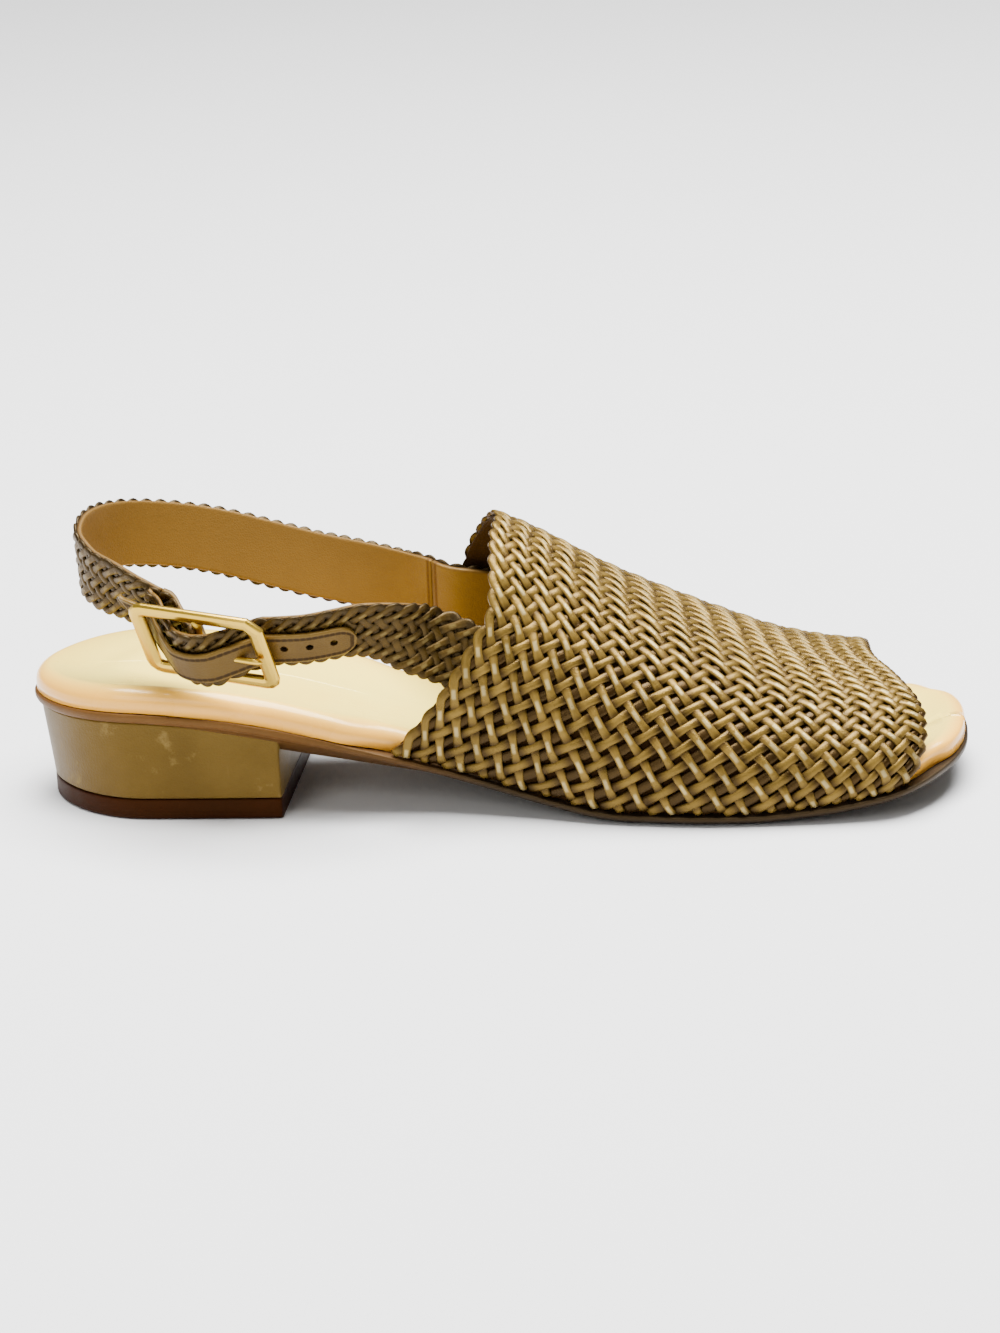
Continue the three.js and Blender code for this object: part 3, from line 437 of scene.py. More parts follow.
    def back_face(self, distance: Array, up: Array, lift: Array | float = 0.0) -> Array:
        """Points off the back strap's face.

        Args:
            distance: places along the line.
            up: heights across the strap.
            lift: distances out from the face.

        Returns:
            The points.
        """
        centre, _, rise, out = self.frame(distance)
        off_face = (np.asarray(lift) + 0 * distance)[..., None]
        return centre + rise * np.asarray(up)[..., None] + out * off_face

    def front_face(self, distance: Array, up: Array, lift: Array | float = 0.0) -> Array:
        """Points off the front strap's outer face.

        Args:
            distance: places along the line.
            up: heights across the strap.
            lift: distances out from the face.

        Returns:
            The points.
        """
        from_buckle = (self.buckle_at - distance) / self.buckle_length
        layer = self.front_layer * (1 - self.spread(from_buckle))
        up = np.asarray(up) + self.width * self.rise(from_buckle)
        return self.back_face(distance, up, layer + self.arch_height * self.arch(from_buckle) + lift)

    def buckle_axes(self) -> Matrix:
        """Place of the buckle.

        Returns:
            Its matrix: X towards the toe, Y up the strap and Z out from the foot.
        """
        centre, back, up, out = (part[0] for part in self.frame(np.array([self.buckle_at])))
        matrix = Matrix.Identity(4)
        for k, axis in enumerate((back, up, out, centre + out * self.bar_level)):
            matrix.col[k][:3] = axis
        return matrix


# ---- meshes ----


@dataclass
class Place:
    """Moves the shoe's own millimetres into the frame's metres."""

    sole: SoleForm

    def __post_init__(self) -> None:
        """Finds the frame's origin from the outsole's box."""
        low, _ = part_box("outsole")
        samples = 2000
        along = np.linspace(0, self.sole.length, samples)
        widest = float(self.sole.half_width(along, Side.OUTER.value).max())
        self.shift = np.array([low.x / MM, low.y / MM + widest, 0.0])

    def metres(self, points: Array) -> Array:
        """Returns points in the frame, in metres."""
        return (np.asarray(points, float) + self.shift) * MM


@dataclass
class Workshop:
    """Makes mesh pieces in the frame and hangs them on the shoe."""

    place: Place

    def piece(self, name: str, points: Array, faces: Sequence, finish: bpy.types.Material,
              slot: str, replaces: str | None = None, smooth: bool = True,
              tones: dict[str, Array] | None = None, uv: Array | None = None) -> bpy.types.Object:
        """Makes one piece that rides on the shoe.

        Args:
            name: piece's name.
            points: corners in the shoe's millimetres.
            faces: corner numbers of each face.
            finish: material of the piece.
            slot: record slot of the piece; not used.
            replaces: CAD node that the piece stands for.
            smooth: whether the faces are shaded smooth.
            tones: named values of each corner, for the material.
            uv: place of each corner on the material's map.

        Returns:
            The new object.
        """
        mesh = bpy.data.meshes.new(name)
        mesh.from_pydata(self.place.metres(points.reshape(-1, 3)).tolist(), [], list(faces))
        mesh.validate()
        self.turn_outward(mesh)
        if smooth:
            mesh.shade_smooth()
        for label, values in (tones or {}).items():
            layer = mesh.attributes.new(label, "FLOAT", "POINT")
            layer.data.foreach_set("value", values.astype(np.float32).ravel())
        if uv is not None:
            corners = np.empty(len(mesh.loops), np.int32)
            mesh.loops.foreach_get("vertex_index", corners)
            layer = mesh.uv_layers.new(name="laid")
            layer.data.foreach_set("uv", uv.reshape(-1, 2)[corners].astype(np.float32).ravel())
        piece = bpy.data.objects.new(name, mesh)
        bpy.context.scene.collection.objects.link(piece)
        mesh.materials.append(finish)
        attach(piece, BODY)
        if replaces:
            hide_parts(replaces)
        LOG.info("%s: %d faces", name, len(mesh.polygons))
        return piece

    def plait(self, names: Sequence[str], weave: "Weave", finish: bpy.types.Material, slot: str) -> None:
        """Makes the two sets of strips of a plait.

        Args:
            names: name of each set.
            weave: plait that has been laid on its surface.
            finish: material of the strips.
            slot: CAD node that the strips stand for.
        """
        for parity, name in enumerate(names):
            points, faces, tones, uv = weave.strips(parity)
            self.piece(name, points, faces, finish, slot, slot, tones=tones, uv=uv)

    @staticmethod
    def turn_outward(mesh: bpy.types.Mesh) -> None:
        """Turns every face of the mesh's closed forms outward.

        Args:
            mesh: mesh to turn.
        """
        turned = bmesh.new()
        turned.from_mesh(mesh)
        bmesh.ops.recalc_face_normals(turned, faces=turned.faces)
        turned.to_mesh(mesh)
        turned.free()

    @staticmethod
    def grid_faces(rows: int, row: int, ring: bool = False) -> Array:
        """Faces of a grid of corners.

        Args:
            rows: number of rows.
            row: corners in a row.
            ring: whether each row closes on itself.

        Returns:
            Corner numbers of each four-sided face.
        """
        i = np.arange(rows - 1)[:, None]
        k = np.arange(row if ring else row - 1)[None, :]
        nxt = (k + 1) % row
        faces = np.stack([i * row + k, i * row + nxt, (i + 1) * row + nxt, (i + 1) * row + k], axis=-1)
        return faces.reshape(-1, 4)

    def stack(self, loops: Sequence[Array]) -> tuple[Array, list]:
        """Closes a stack of loops, bottom first, with a face at each end.

        Args:
            loops: loops of equal length.

        Returns:
            Corners and faces.
        """
        count = len(loops[0])
        faces = self.grid_faces(len(loops), count, ring=True).tolist()
        faces.append(list(range(count))[::-1])
        faces.append([(len(loops) - 1) * count + k for k in range(count)])
        return np.concatenate(loops), faces

    def sheet(self, top: Array, low: Array) -> tuple[Array, list]:
        """Closes the sheet between two grids of points.

        Args:
            top: grid of the outer face.
            low: grid of the inner face.

        Returns:
            Corners and faces.
        """
        rows, row = top.shape[:2]
        points = np.concatenate([top.reshape(-1, 3), low.reshape(-1, 3)])
        half = rows * row
        upper = self.grid_faces(rows, row)
        faces = upper.tolist() + (upper[:, ::-1] + half).tolist()
        ids = np.arange(half).reshape(rows, row)
        rim = np.concatenate([ids[0, :-1], ids[:-1, -1], ids[-1, :0:-1], ids[:0:-1, 0]])
        turned = np.roll(rim, -1)
        faces += np.stack([turned, rim, rim + half, turned + half], axis=-1).tolist()
        return points, faces


@dataclass
class Weave:
    """Plait of strips that run at a slant and turn back at both edges.

    Strips that fall towards the toe pass over two and under one, the rising ones over one and under two.
    Thicknesses, widths and levels are in millimetres, and places are in half columns and rows.
    """

    half_columns: int
    rows: int
    thickness: float = 1.15
    strip_width: float = 2.35
    slope: float = 0.75
    fill: float = 0.9
    swing: float = 0.4
    dive: float = 0.55
    level: float = 0.1
    turn: float = 0.34
    stray: float = 0.05
    strays: int = 3
    steps: int = 8
    across: int = 9
    seed: int = 5
    tuck: float = 0.0
    tuck_reach: float = 0.5
    crossing: float = 2.5
    over_share: float = 0.5
    waves: tuple[float, float] = (0.25, 1.1)
    calm: float = 1.5
    margin: float = 0.02
    widening: float = 0.25
    scatter: float = 0.05
    roundness: float = 0.62
    fine: tuple[int, int] = (4, 6)

    def lay(self, surface: Callable[[Array, Array], Array]) -> None:
        """Reads the surface on a fine grid.

        Args:
            surface: gives points for half columns and rows.
        """
        u = np.linspace(0, self.half_columns, self.half_columns * self.fine[0] + 1)
        v = np.linspace(0, self.rows, self.rows * self.fine[1] + 1)
        self.points = surface(*np.meshgrid(u, v, indexing="ij"))
        self.by_u = np.gradient(self.points, u, axis=0)
        self.by_v = np.gradient(self.points, v, axis=1)
        self.normal = unit(np.cross(self.by_u, self.by_v))

    def lay_along(self, face: Callable, width: Callable, start: float, end: float) -> None:
        """Lays the plait along a strap, by a face that takes distance, height across and lift."""
        place = lambda v: start + (end - start) * v / self.rows
        self.lay(lambda u, v: face(place(v), (u / self.half_columns - 0.5) * width(place(v))))

    def read(self, table: Array, u: Array, v: Array) -> Array:
        """Reads a grid between its points.

        Args:
            table: values of the grid.
            u: half columns.
            v: rows.

        Returns:
            The values there.
        """
        before_last = 1.001
        a = np.clip(u * self.fine[0], 0, table.shape[0] - before_last)
        b = np.clip(v * self.fine[1], 0, table.shape[1] - before_last)
        i, j = a.astype(int), b.astype(int)
        s, t = (a - i)[..., None], (b - j)[..., None]
        low = table[i, j] * (1 - t) + table[i, j + 1] * t
        high = table[i + 1, j] * (1 - t) + table[i + 1, j + 1] * t
        return low * (1 - s) + high * s

    @staticmethod
    def smooth(values: Array, reach: int) -> Array:
        """Smooths rows of values.

        Args:
            values: one row per strip.
            reach: how many neighbours on both sides are averaged.

        Returns:
            The smoothed rows.
        """
        padded = np.pad(values, ((0, 0), (reach, reach)), mode="edge")
        span = 2 * reach + 1
        return sum(padded[:, k: k + values.shape[1]] for k in range(span)) / span

    def route(self, starts: Array, v: Array, rng: np.random.Generator) -> tuple[Array, Array, Array]:
        """Leads the strips across the plait.

        Args:
            starts: row that each strip starts from.
            v: rows along each strip.
            rng: source of the small strays.

        Returns:
            Half columns, direction (1 or -1) and level (1 over, -1 under) along each strip.
        """
        span, reach_back = self.half_columns, self.half_columns * self.slope
        phase = (v - starts) % (2 * reach_back)
        rising = np.where(phase < reach_back, 1.0, -1.0)
        u = (reach_back - np.abs(phase - reach_back)) / self.slope
        over = rising * np.clip(self.crossing * (np.cos(math.pi * u) - self.over_share), -1, 1)
        over = self.smooth(over, self.steps // 3)
        rounding = lambda d: np.sqrt(d * d + self.turn**2) - d
        u = u + rounding(u) - rounding(span - u)
        for _ in range(self.strays):
            wave = rng.uniform(*self.waves, starts.shape)
            start = rng.uniform(0, 2 * math.pi, starts.shape)
            edge = np.minimum(1, np.minimum(u, span - u) / self.calm)
            u = u + self.stray * edge * np.sin(wave * v * 2 + start)
        return np.clip(u, self.margin, span - self.margin), rising, over

    def strips(self, parity: int) -> tuple[Array, list, dict[str, Array], Array]:
        """Meshes every second strip of the plait.

        Args:
            parity: which of the two sets of strips.

        Returns:
            Corners, faces, tones and map places.
        """
        rng = np.random.default_rng(self.seed + parity)
        starts = np.arange(parity, round(2 * self.half_columns * self.slope), 2)[:, None]
        v = np.linspace(0, self.rows, self.rows * self.steps + 1)[None, :] + 0 * starts
        u, rising, over = self.route(starts, v, rng)
        centre = self.read(self.points, u, v)
        normal = unit(self.read(self.normal, u, v))
        by_u, by_v = self.read(self.by_u, u, v), self.read(self.by_v, u, v)
        pitch = np.linalg.norm(np.cross(by_u, by_v), axis=-1)
        pitch /= np.linalg.norm(by_u * rising[..., None] + self.slope * by_v, axis=-1)
        widest = self.strip_width * (1 + self.widening - self.widening * over)
        width = np.minimum(pitch * self.fill, widest)
        width = width * (1 + self.scatter * rng.standard_normal(starts.shape))
        side = unit(np.cross(normal, unit(np.gradient(centre, axis=1))))
        near_end = np.clip(1 - np.minimum(v, self.rows - v) / self.tuck_reach, 0, 1)
        lift = self.level + np.where(over > 0, self.swing, self.dive) * over - self.tuck * near_end**2
        angle = np.linspace(math.pi, 0, self.across)
        reach, crown = np.cos(angle), np.sin(angle) ** self.roundness
        narrow_share, by_width = 0.3, 0.4
        thick = self.thickness * np.minimum(1, narrow_share + by_width * width)
        corners = (
            centre[:, :, None, :]
            + side[:, :, None, :] * (reach * width[..., None] / 2)[..., None]
            + normal[:, :, None, :] * ((lift - thick / 2)[..., None] + crown * thick[..., None])[..., None]
        )
        ring = np.ones(self.across)
        tone = rng.uniform(0, 1, starts.shape) + 0 * v
        # height and crown also steer the strips' painted shade and painted highlight in their material
        tones = {
            "tone": tone[..., None] * ring,
            "height": np.clip(0.5 + 0.5 * over, 0, 1)[..., None] * ring,
            "crown": crown * (1 + 0 * v)[..., None],
        }
        return corners, self.faces(*v.shape), tones, self.laid(centre, starts, reach)

    def faces(self, count: int, samples: int) -> list:
        """Faces of the strips, with the cap at each end.

        Args:
            count: number of strips.
            samples: rings of each strip.

        Returns:
            Corner numbers of each face.
        """
        corners = samples * self.across
        firsts = np.arange(count)[:, None] * corners
        tube = Workshop.grid_faces(samples, self.across, ring=True)[:, ::-1]
        start = np.arange(self.across) + firsts
        end = np.arange(self.across)[::-1] + firsts + corners - self.across
        caps = np.stack([start, end], axis=1).reshape(-1, self.across)
        return (tube + firsts[..., None]).reshape(-1, 4).tolist() + caps.tolist()

    @staticmethod
    def laid(centre: Array, starts: Array, reach: Array) -> Array:
        """Lays the strips side by side on the material's map.

        Args:
            centre: middle of each strip.
            starts: row that each strip starts from.
            reach: places across a strip, from -1 to 1.

        Returns:
            Map place of each corner: across the strips, then along them.
        """
        apart, along_scale = 3, 0.1
        steps = np.cumsum(np.linalg.norm(np.diff(centre, axis=1), axis=-1), axis=1)
        along = np.concatenate([0 * steps[:, :1], steps], 1)[..., None]
        across = reach * 0.5 + 0 * along + starts[..., None] * apart
        return np.stack([across, along * along_scale * np.ones(len(reach))], -1)


# ---- finishes ----


class Craft:
    """Places and links the nodes of one material or group."""

    ROW, ACROSS, DOWN = 12, 200, 320

    def __init__(self, tree: bpy.types.NodeTree) -> None:
        """Starts on an empty tree."""
        self.tree = tree
        self.count = 0

    def add(self, kind: str, sockets: dict | None = None, **settings: object) -> bpy.types.Node:
        """Adds a node.

        Args:
            kind: node type without its ShaderNode prefix.
            sockets: values or source sockets of its inputs, by name or number.
            settings: the node's own options.

        Returns:
            The node.
        """
        node = self.tree.nodes.new(kind if kind.startswith("NodeGroup") else "ShaderNode" + kind)
        row, place = divmod(self.count, self.ROW)
        node.location = (place * self.ACROSS, -row * self.DOWN)
        self.count += 1
        for name, value in settings.items():
            setattr(node, name, value)
        for name, value in (sockets or {}).items():
            self.feed(value, node.inputs[name])
        return node

    def feed(self, value: object, target: bpy.types.NodeSocket) -> None:
        """Links a socket to a target, or sets the target's own value.

        Args:
            value: source socket, number, vector, or colour without its alpha.
            target: input that takes it.
        """
        if isinstance(value, bpy.types.NodeSocket):
            self.tree.links.new(value, target)
        elif target.type == "RGBA":
            target.default_value = (*value, 1.0)
        else:
            target.default_value = value

    def math(self, operation: str, a: object, b: object = 0.0, clamp: bool = False) -> bpy.types.NodeSocket:
        """Returns the result of one operation on two values."""
        return self.add("Math", {0: a, 1: b}, operation=operation, use_clamp=clamp).outputs[0]

    def plus(self, a: object, b: object) -> bpy.types.NodeSocket:
        """Returns the sum of two values."""
        return self.math("ADD", a, b)

    def times(self, a: object, b: object, clamp: bool = False) -> bpy.types.NodeSocket:
        """Returns the product of two values."""
        return self.math("MULTIPLY", a, b, clamp)

    def attribute(self, label: str) -> bpy.types.NodeSocket:
        """Returns a named value of the mesh."""
        return self.add("Attribute", attribute_name=label).outputs["Fac"]

    def mix(self, share: object, a: object, b: object) -> bpy.types.NodeSocket:
        """Mixes two colours.

        Args:
            share: share of the second colour.
            a: first colour.
            b: second colour.

        Returns:
            The mixed colour.
        """
        share_in, first_in, second_in, colour_out = 0, 6, 7, 2
        sockets = {share_in: share, first_in: a, second_in: b}
        return self.add("Mix", sockets, data_type="RGBA").outputs[colour_out]

    def between(self, value: object, low: float, high: float) -> bpy.types.NodeSocket:
        """Steps smoothly from 0 to 1.

        Args:
            value: value to read.
            low: where the step starts.
            high: where it ends.

        Returns:
            The step's value.
        """
        node = self.add("MapRange", {"Value": value, "From Min": low, "From Max": high})
        node.interpolation_type = "SMOOTHSTEP"
        return node.outputs[0]


class Effect:
    """Shader groups that more than one finish uses."""

    def __init__(self) -> None:
        """Builds each group once."""
        self.grain = self.build_grain()
        self.wear = self.build_wear()
        self.stitch = self.build_stitch()

    @staticmethod
    def group(
        name: str, inputs: dict[str, float], outputs: Sequence[str],
    ) -> tuple[Craft, bpy.types.Node, bpy.types.Node]:
        """Starts a group with named sockets.

        Args:
            name: group's name.
            inputs: input names with their usual values.
            outputs: output names.

        Returns:
            Craft, input node and output node.
        """
        tree = bpy.data.node_groups.new(name, "ShaderNodeTree")
        number = "NodeSocketFloat"
        for label, value in inputs.items():
            socket = tree.interface.new_socket(name=label, in_out="INPUT", socket_type=number)
            socket.default_value = value
        for label in outputs:
            tree.interface.new_socket(name=label, in_out="OUTPUT", socket_type=number)
        craft = Craft(tree)
        return craft, craft.add("NodeGroupInput"), craft.add("NodeGroupOutput")

    def build_grain(self) -> bpy.types.NodeTree:
        """Makes the leather grain: pebbled height, and soft mottling of the colour.

        Returns:
            The group.
        """
        usual = {"Scale": 900.0, "Mottle Scale": 60.0}
        craft, given, out = self.group("leather_grain", usual, ("Height", "Mottle"))
        where, scale = craft.add("TexCoord").outputs["Object"], given.outputs["Scale"]
        pebble = craft.add("TexVoronoi", {"Vector": where, "Scale": scale}, feature="DISTANCE_TO_EDGE")
        crease = craft.add("TexNoise", {"Vector": where, "Scale": scale, "Detail": 3.0})
        pebble_share, crease_share = 0.6, 0.4
        height = craft.times(craft.between(pebble.outputs["Distance"], 0.0, 0.25), pebble_share)
        height = craft.plus(height, craft.times(crease.outputs[0], crease_share))
        blotch = craft.add("TexNoise", {
            "Vector": where, "Scale": given.outputs["Mottle Scale"], "Detail": 4.0, "Roughness": 0.6,
        })
        craft.feed(height, out.inputs["Height"])
        craft.feed(craft.between(blotch.outputs[0], 0.3, 0.7), out.inputs["Mottle"])
        return craft.tree

    def build_wear(self) -> bpy.types.NodeTree:
        """Makes scattered scuffs and fine scratches.

        Returns:
            The group.
        """
        craft, given, out = self.group("scuff_wear", {"Scale": 40.0, "Amount": 0.5}, ("Scuff", "Scratch"))
        where = craft.add("TexCoord").outputs["Object"]
        patch = craft.add("TexNoise", {
            "Vector": where, "Scale": given.outputs["Scale"], "Detail": 6.0, "Roughness": 0.7,
        })
        by_amount, threshold, steepness = 0.5, 0.8, 9.0
        edge = craft.math("SUBTRACT", 1.0, craft.times(given.outputs["Amount"], by_amount))
        raised = craft.math("SUBTRACT", patch.outputs[0], craft.times(edge, threshold))
        craft.feed(craft.times(raised, steepness, clamp=True), out.inputs["Scuff"])
        hairline = {"Vector": where, "Rotation": (0.5, 0.9, 0.4), "Scale": (260.0, 24.0, 24.0)}
        turned = craft.add("Mapping", hairline)
        hair = craft.add("TexNoise", {"Vector": turned.outputs[0], "Scale": 1.0, "Detail": 2.0})
        craft.feed(craft.between(hair.outputs[0], 0.68, 0.76), out.inputs["Scratch"])
        return craft.tree

    def build_stitch(self) -> bpy.types.NodeTree:
        """Makes a row of stitches along a line that the mesh measures in millimetres.

        Returns:
            The group.
        """
        craft, given, out = self.group("stitch_row", {"Pitch": 1.5, "Width": 0.3}, ("Stitch", "Groove"))
        away = craft.math("ABSOLUTE", craft.attribute("from_line"))
        turns = craft.math("DIVIDE", craft.attribute("run"), given.outputs["Pitch"])
        dash = craft.math("ABSOLUTE", craft.math("SUBTRACT", craft.math("FRACT", turns), 0.5))
        thread = craft.math("LESS_THAN", away, given.outputs["Width"])
        craft.feed(craft.times(thread, craft.between(dash, 0.4, 0.32)), out.inputs["Stitch"])
        # Groove marks the band beside the line that the finishes darken as painted shade
        craft.feed(craft.between(away, 0.75, 0.2), out.inputs["Groove"])
        return craft.tree


@dataclass(frozen=True)
class Finish:
    """Plain surface values that every material starts from."""

    name: str
    colour: Colour
    roughness: float = 0.5
    metallic: float = 0.0
    coat: float = 0.0
    coat_roughness: float = 0.1
    specular: float = 0.4
    sheen_tint: Colour = (1.0, 0.7, 0.32)

    def start(self) -> tuple[bpy.types.Material, Craft, bpy.types.Node]:
        """Starts the material with its plain values.

        Returns:
            New material, its craft and its main shader.
        """
        material = bpy.data.materials.new(self.name)
        material.use_nodes = True
        craft = Craft(material.node_tree)
        shader = material.node_tree.nodes["Principled BSDF"]
        values = {
            "Base Color": self.colour, "Roughness": self.roughness, "Metallic": self.metallic,
            "Coat Weight": self.coat, "Coat Roughness": self.coat_roughness,
            "Specular IOR Level": self.specular, "Specular Tint": self.sheen_tint,
        }
        for label, value in values.items():
            craft.feed(value, shader.inputs[label])
        return material, craft, shader

    @staticmethod
    def place(craft: Craft, group: bpy.types.NodeTree, **values: float) -> bpy.types.Node:
        """Places a shared group.

        Args:
            craft: craft of the material.
            group: group to place.
            values: values of its inputs, with _ for a space.

        Returns:
            The group's node.
        """
        node = craft.add("Group", node_tree=group)
        for label, value in values.items():
            node.inputs[label.replace("_", " ")].default_value = value
        return node

    @staticmethod
    def bump(craft: Craft, shader: bpy.types.Node, height: bpy.types.NodeSocket,
             strength: float, distance: float) -> None:
        """Feeds a height, which stands for distance in metres where it is one, to the shader's normal."""
        node = craft.add("Bump", {"Height": height, "Strength": strength, "Distance": distance})
        craft.feed(node.outputs[0], shader.inputs["Normal"])


@dataclass(frozen=True)
class StripLeather(Finish):
    """Metallic taupe strips with painted shade where they dive under their neighbours and along their edges,
    and a painted highlight on the crests of the strips that pass over.
    """

    # colour of the painted shade where the strips dive under and at their edges
    painted_shade: Colour = (0.02, 0.009, 0.0015)
    # colour of the painted highlight on the crests of the strips that pass over
    crown: Colour = (0.52, 0.42, 0.2)
    highlight_share: float = 0.5
    shade_range: float = 0.3
    shade_floor: float = 0.8
    rough_range: float = 0.16
    grain_depth: float = 0.25

    def build(self, effect: Effect) -> bpy.types.Material:
        """Builds the material.

        Args:
            effect: shared shader groups.

        Returns:
            The material.
        """
        material, craft, shader = self.start()
        height, tone, crown = (craft.attribute(label) for label in ("height", "tone", "crown"))
        grain = self.place(craft, effect.grain, Scale=1500.0, Mottle_Scale=120.0)
        # painted shade: darker where a strip dives under its neighbours and where it turns down at its edges
        body = craft.mix(craft.between(height, 0.25, 0.8), self.painted_shade, self.colour)
        body = craft.mix(craft.between(crown, 0.75, 0.1), body, self.painted_shade)
        # painted highlight: the crests of the strips that pass over are lightened towards the crown colour
        painted_highlight = craft.times(craft.between(height, 0.9, 1.0), craft.between(crown, 0.85, 1.0))
        body = craft.mix(craft.times(painted_highlight, self.highlight_share), body, self.crown)
        shade = craft.plus(craft.times(tone, self.shade_range), self.shade_floor)
        blotch = grain.outputs["Mottle"]
        mottle = craft.plus(craft.times(blotch, self.shade_range), 1 - self.shade_range / 2)
        value = craft.add("HueSaturation", {"Value": craft.times(shade, mottle), "Color": body})
        craft.feed(value.outputs[0], shader.inputs["Base Color"])
        rough = craft.plus(craft.times(blotch, self.rough_range), self.roughness - self.rough_range / 2)
        craft.feed(rough, shader.inputs["Roughness"])
        self.bump(craft, shader, grain.outputs["Height"], self.grain_depth, 0.0002)
        return material


@dataclass(frozen=True)
class PlainLeather(Finish):
    """Smooth or grained leather with mottling, scuffs and an optional second tone, darker on some edges; some
    pieces use it for painted shade and painted light.
    """

    second: Colour = (0.5, 0.4, 0.3)
    mottle_scale: float = 60.0
    mottle: float = 0.5
    grain_scale: float = 900.0
    grain_depth: float = 0.3
    rough_range: float = 0.1
    scuff: float = 0.0
    scuff_colour: Colour = (0.6, 0.55, 0.45)
    tone_name: str = ""
    tone_colour: Colour = (0.1, 0.06, 0.03)
    stitch_pitch: float = 0.0
    stitch_width: float = 0.32
    stitch_colour: Colour = (0.1, 0.06, 0.03)

    def build(self, effect: Effect) -> bpy.types.Material:
        """Builds the material.

        Args:
            effect: shared shader groups.

        Returns:
            The material.
        """
        material, craft, shader = self.start()
        grain = self.place(craft, effect.grain, Scale=self.grain_scale, Mottle_Scale=self.mottle_scale)
        share = craft.times(grain.outputs["Mottle"], self.mottle)
        colour = craft.mix(share, self.colour, self.second)
        # second tone: painted shade on the forefoot sole edge and on the strap lining under the plait,
        # painted light on the footbed rim, and the tab's own lighter margin
        if self.tone_name:
            colour = craft.mix(craft.attribute(self.tone_name), colour, self.tone_colour)
        rough = craft.times(grain.outputs["Mottle"], self.rough_range)
        rough = craft.plus(rough, self.roughness - self.rough_range / 2)
        if self.scuff:
            colour, rough = self.scuffed(craft, effect, colour, rough)
        height = grain.outputs["Height"]
        if self.stitch_pitch:
            colour, rough, height = self.stitched(craft, effect, colour, rough, height)
        craft.feed(colour, shader.inputs["Base Color"])
        craft.feed(rough, shader.inputs["Roughness"])
        self.bump(craft, shader, height, self.grain_depth, 0.0003)
        return material

    def scuffed(self, craft: Craft, effect: Effect, colour: bpy.types.NodeSocket,
                rough: bpy.types.NodeSocket) -> tuple[bpy.types.NodeSocket, bpy.types.NodeSocket]:
        """Adds scuffs and scratches.

        Args:
            craft: craft of the material.
            effect: shared shader groups.
            colour: colour so far.
            rough: roughness so far.

        Returns:
            The new colour and roughness.
        """
        scratch_share, colour_share, rough_share = 0.6, 0.55, 0.2
        wear = self.place(craft, effect.wear, Scale=70.0, Amount=self.scuff)
        scratch = craft.times(wear.outputs["Scratch"], scratch_share)
        marks = craft.math("MAXIMUM", wear.outputs["Scuff"], scratch)
        colour = craft.mix(craft.times(marks, colour_share), colour, self.scuff_colour)
        return colour, craft.plus(rough, craft.times(marks, rough_share))

    def stitched(self, craft: Craft, effect: Effect, colour: bpy.types.NodeSocket,
                 rough: bpy.types.NodeSocket, height: bpy.types.NodeSocket) -> Sequence[bpy.types.NodeSocket]:
        """Adds a row of stitches in its groove, and darkens the groove as painted shade.

        Args:
            craft: craft of the material.
            effect: shared shader groups.
            colour: colour so far.
            rough: roughness so far.
            height: height so far.

        Returns:
            The new colour, roughness and height.
        """
        groove_share, thread_share, rough_share, groove_depth = 0.8, 0.85, 0.35, 1.5
        row = self.place(craft, effect.stitch, Pitch=self.stitch_pitch, Width=self.stitch_width)
        groove, thread = row.outputs["Groove"], row.outputs["Stitch"]
        # painted shade: the pressed groove is darkened towards the thread's colour
        colour = craft.mix(craft.times(groove, groove_share), colour, self.stitch_colour)
        colour = craft.mix(craft.times(thread, thread_share), colour, self.stitch_colour)
        height = craft.math("SUBTRACT", height, craft.times(groove, groove_depth))
        rough = craft.plus(rough, craft.times(groove, rough_share))
        return colour, rough, craft.plus(height, thread)


@dataclass(frozen=True)
class PlatedMetal(Finish):
    """Satin gold plate with faint worn patches."""

    worn: Colour = (0.5, 0.3, 0.04)
    worn_share: float = 0.5
    worn_rough: float = 0.15

    def build(self, effect: Effect) -> bpy.types.Material:
        """Builds the material.

        Args:
            effect: shared shader groups.

        Returns:
            The material.
        """
        material, craft, shader = self.start()
        wear = self.place(craft, effect.wear, Scale=160.0, Amount=0.45)
        patch = wear.outputs["Scuff"]
        colour = craft.mix(craft.times(patch, self.worn_share), self.colour, self.worn)
        craft.feed(colour, shader.inputs["Base Color"])
        rough = craft.plus(craft.times(patch, self.worn_rough), self.roughness)
        craft.feed(rough, shader.inputs["Roughness"])
        return material


# ---- pieces of the shoe ----


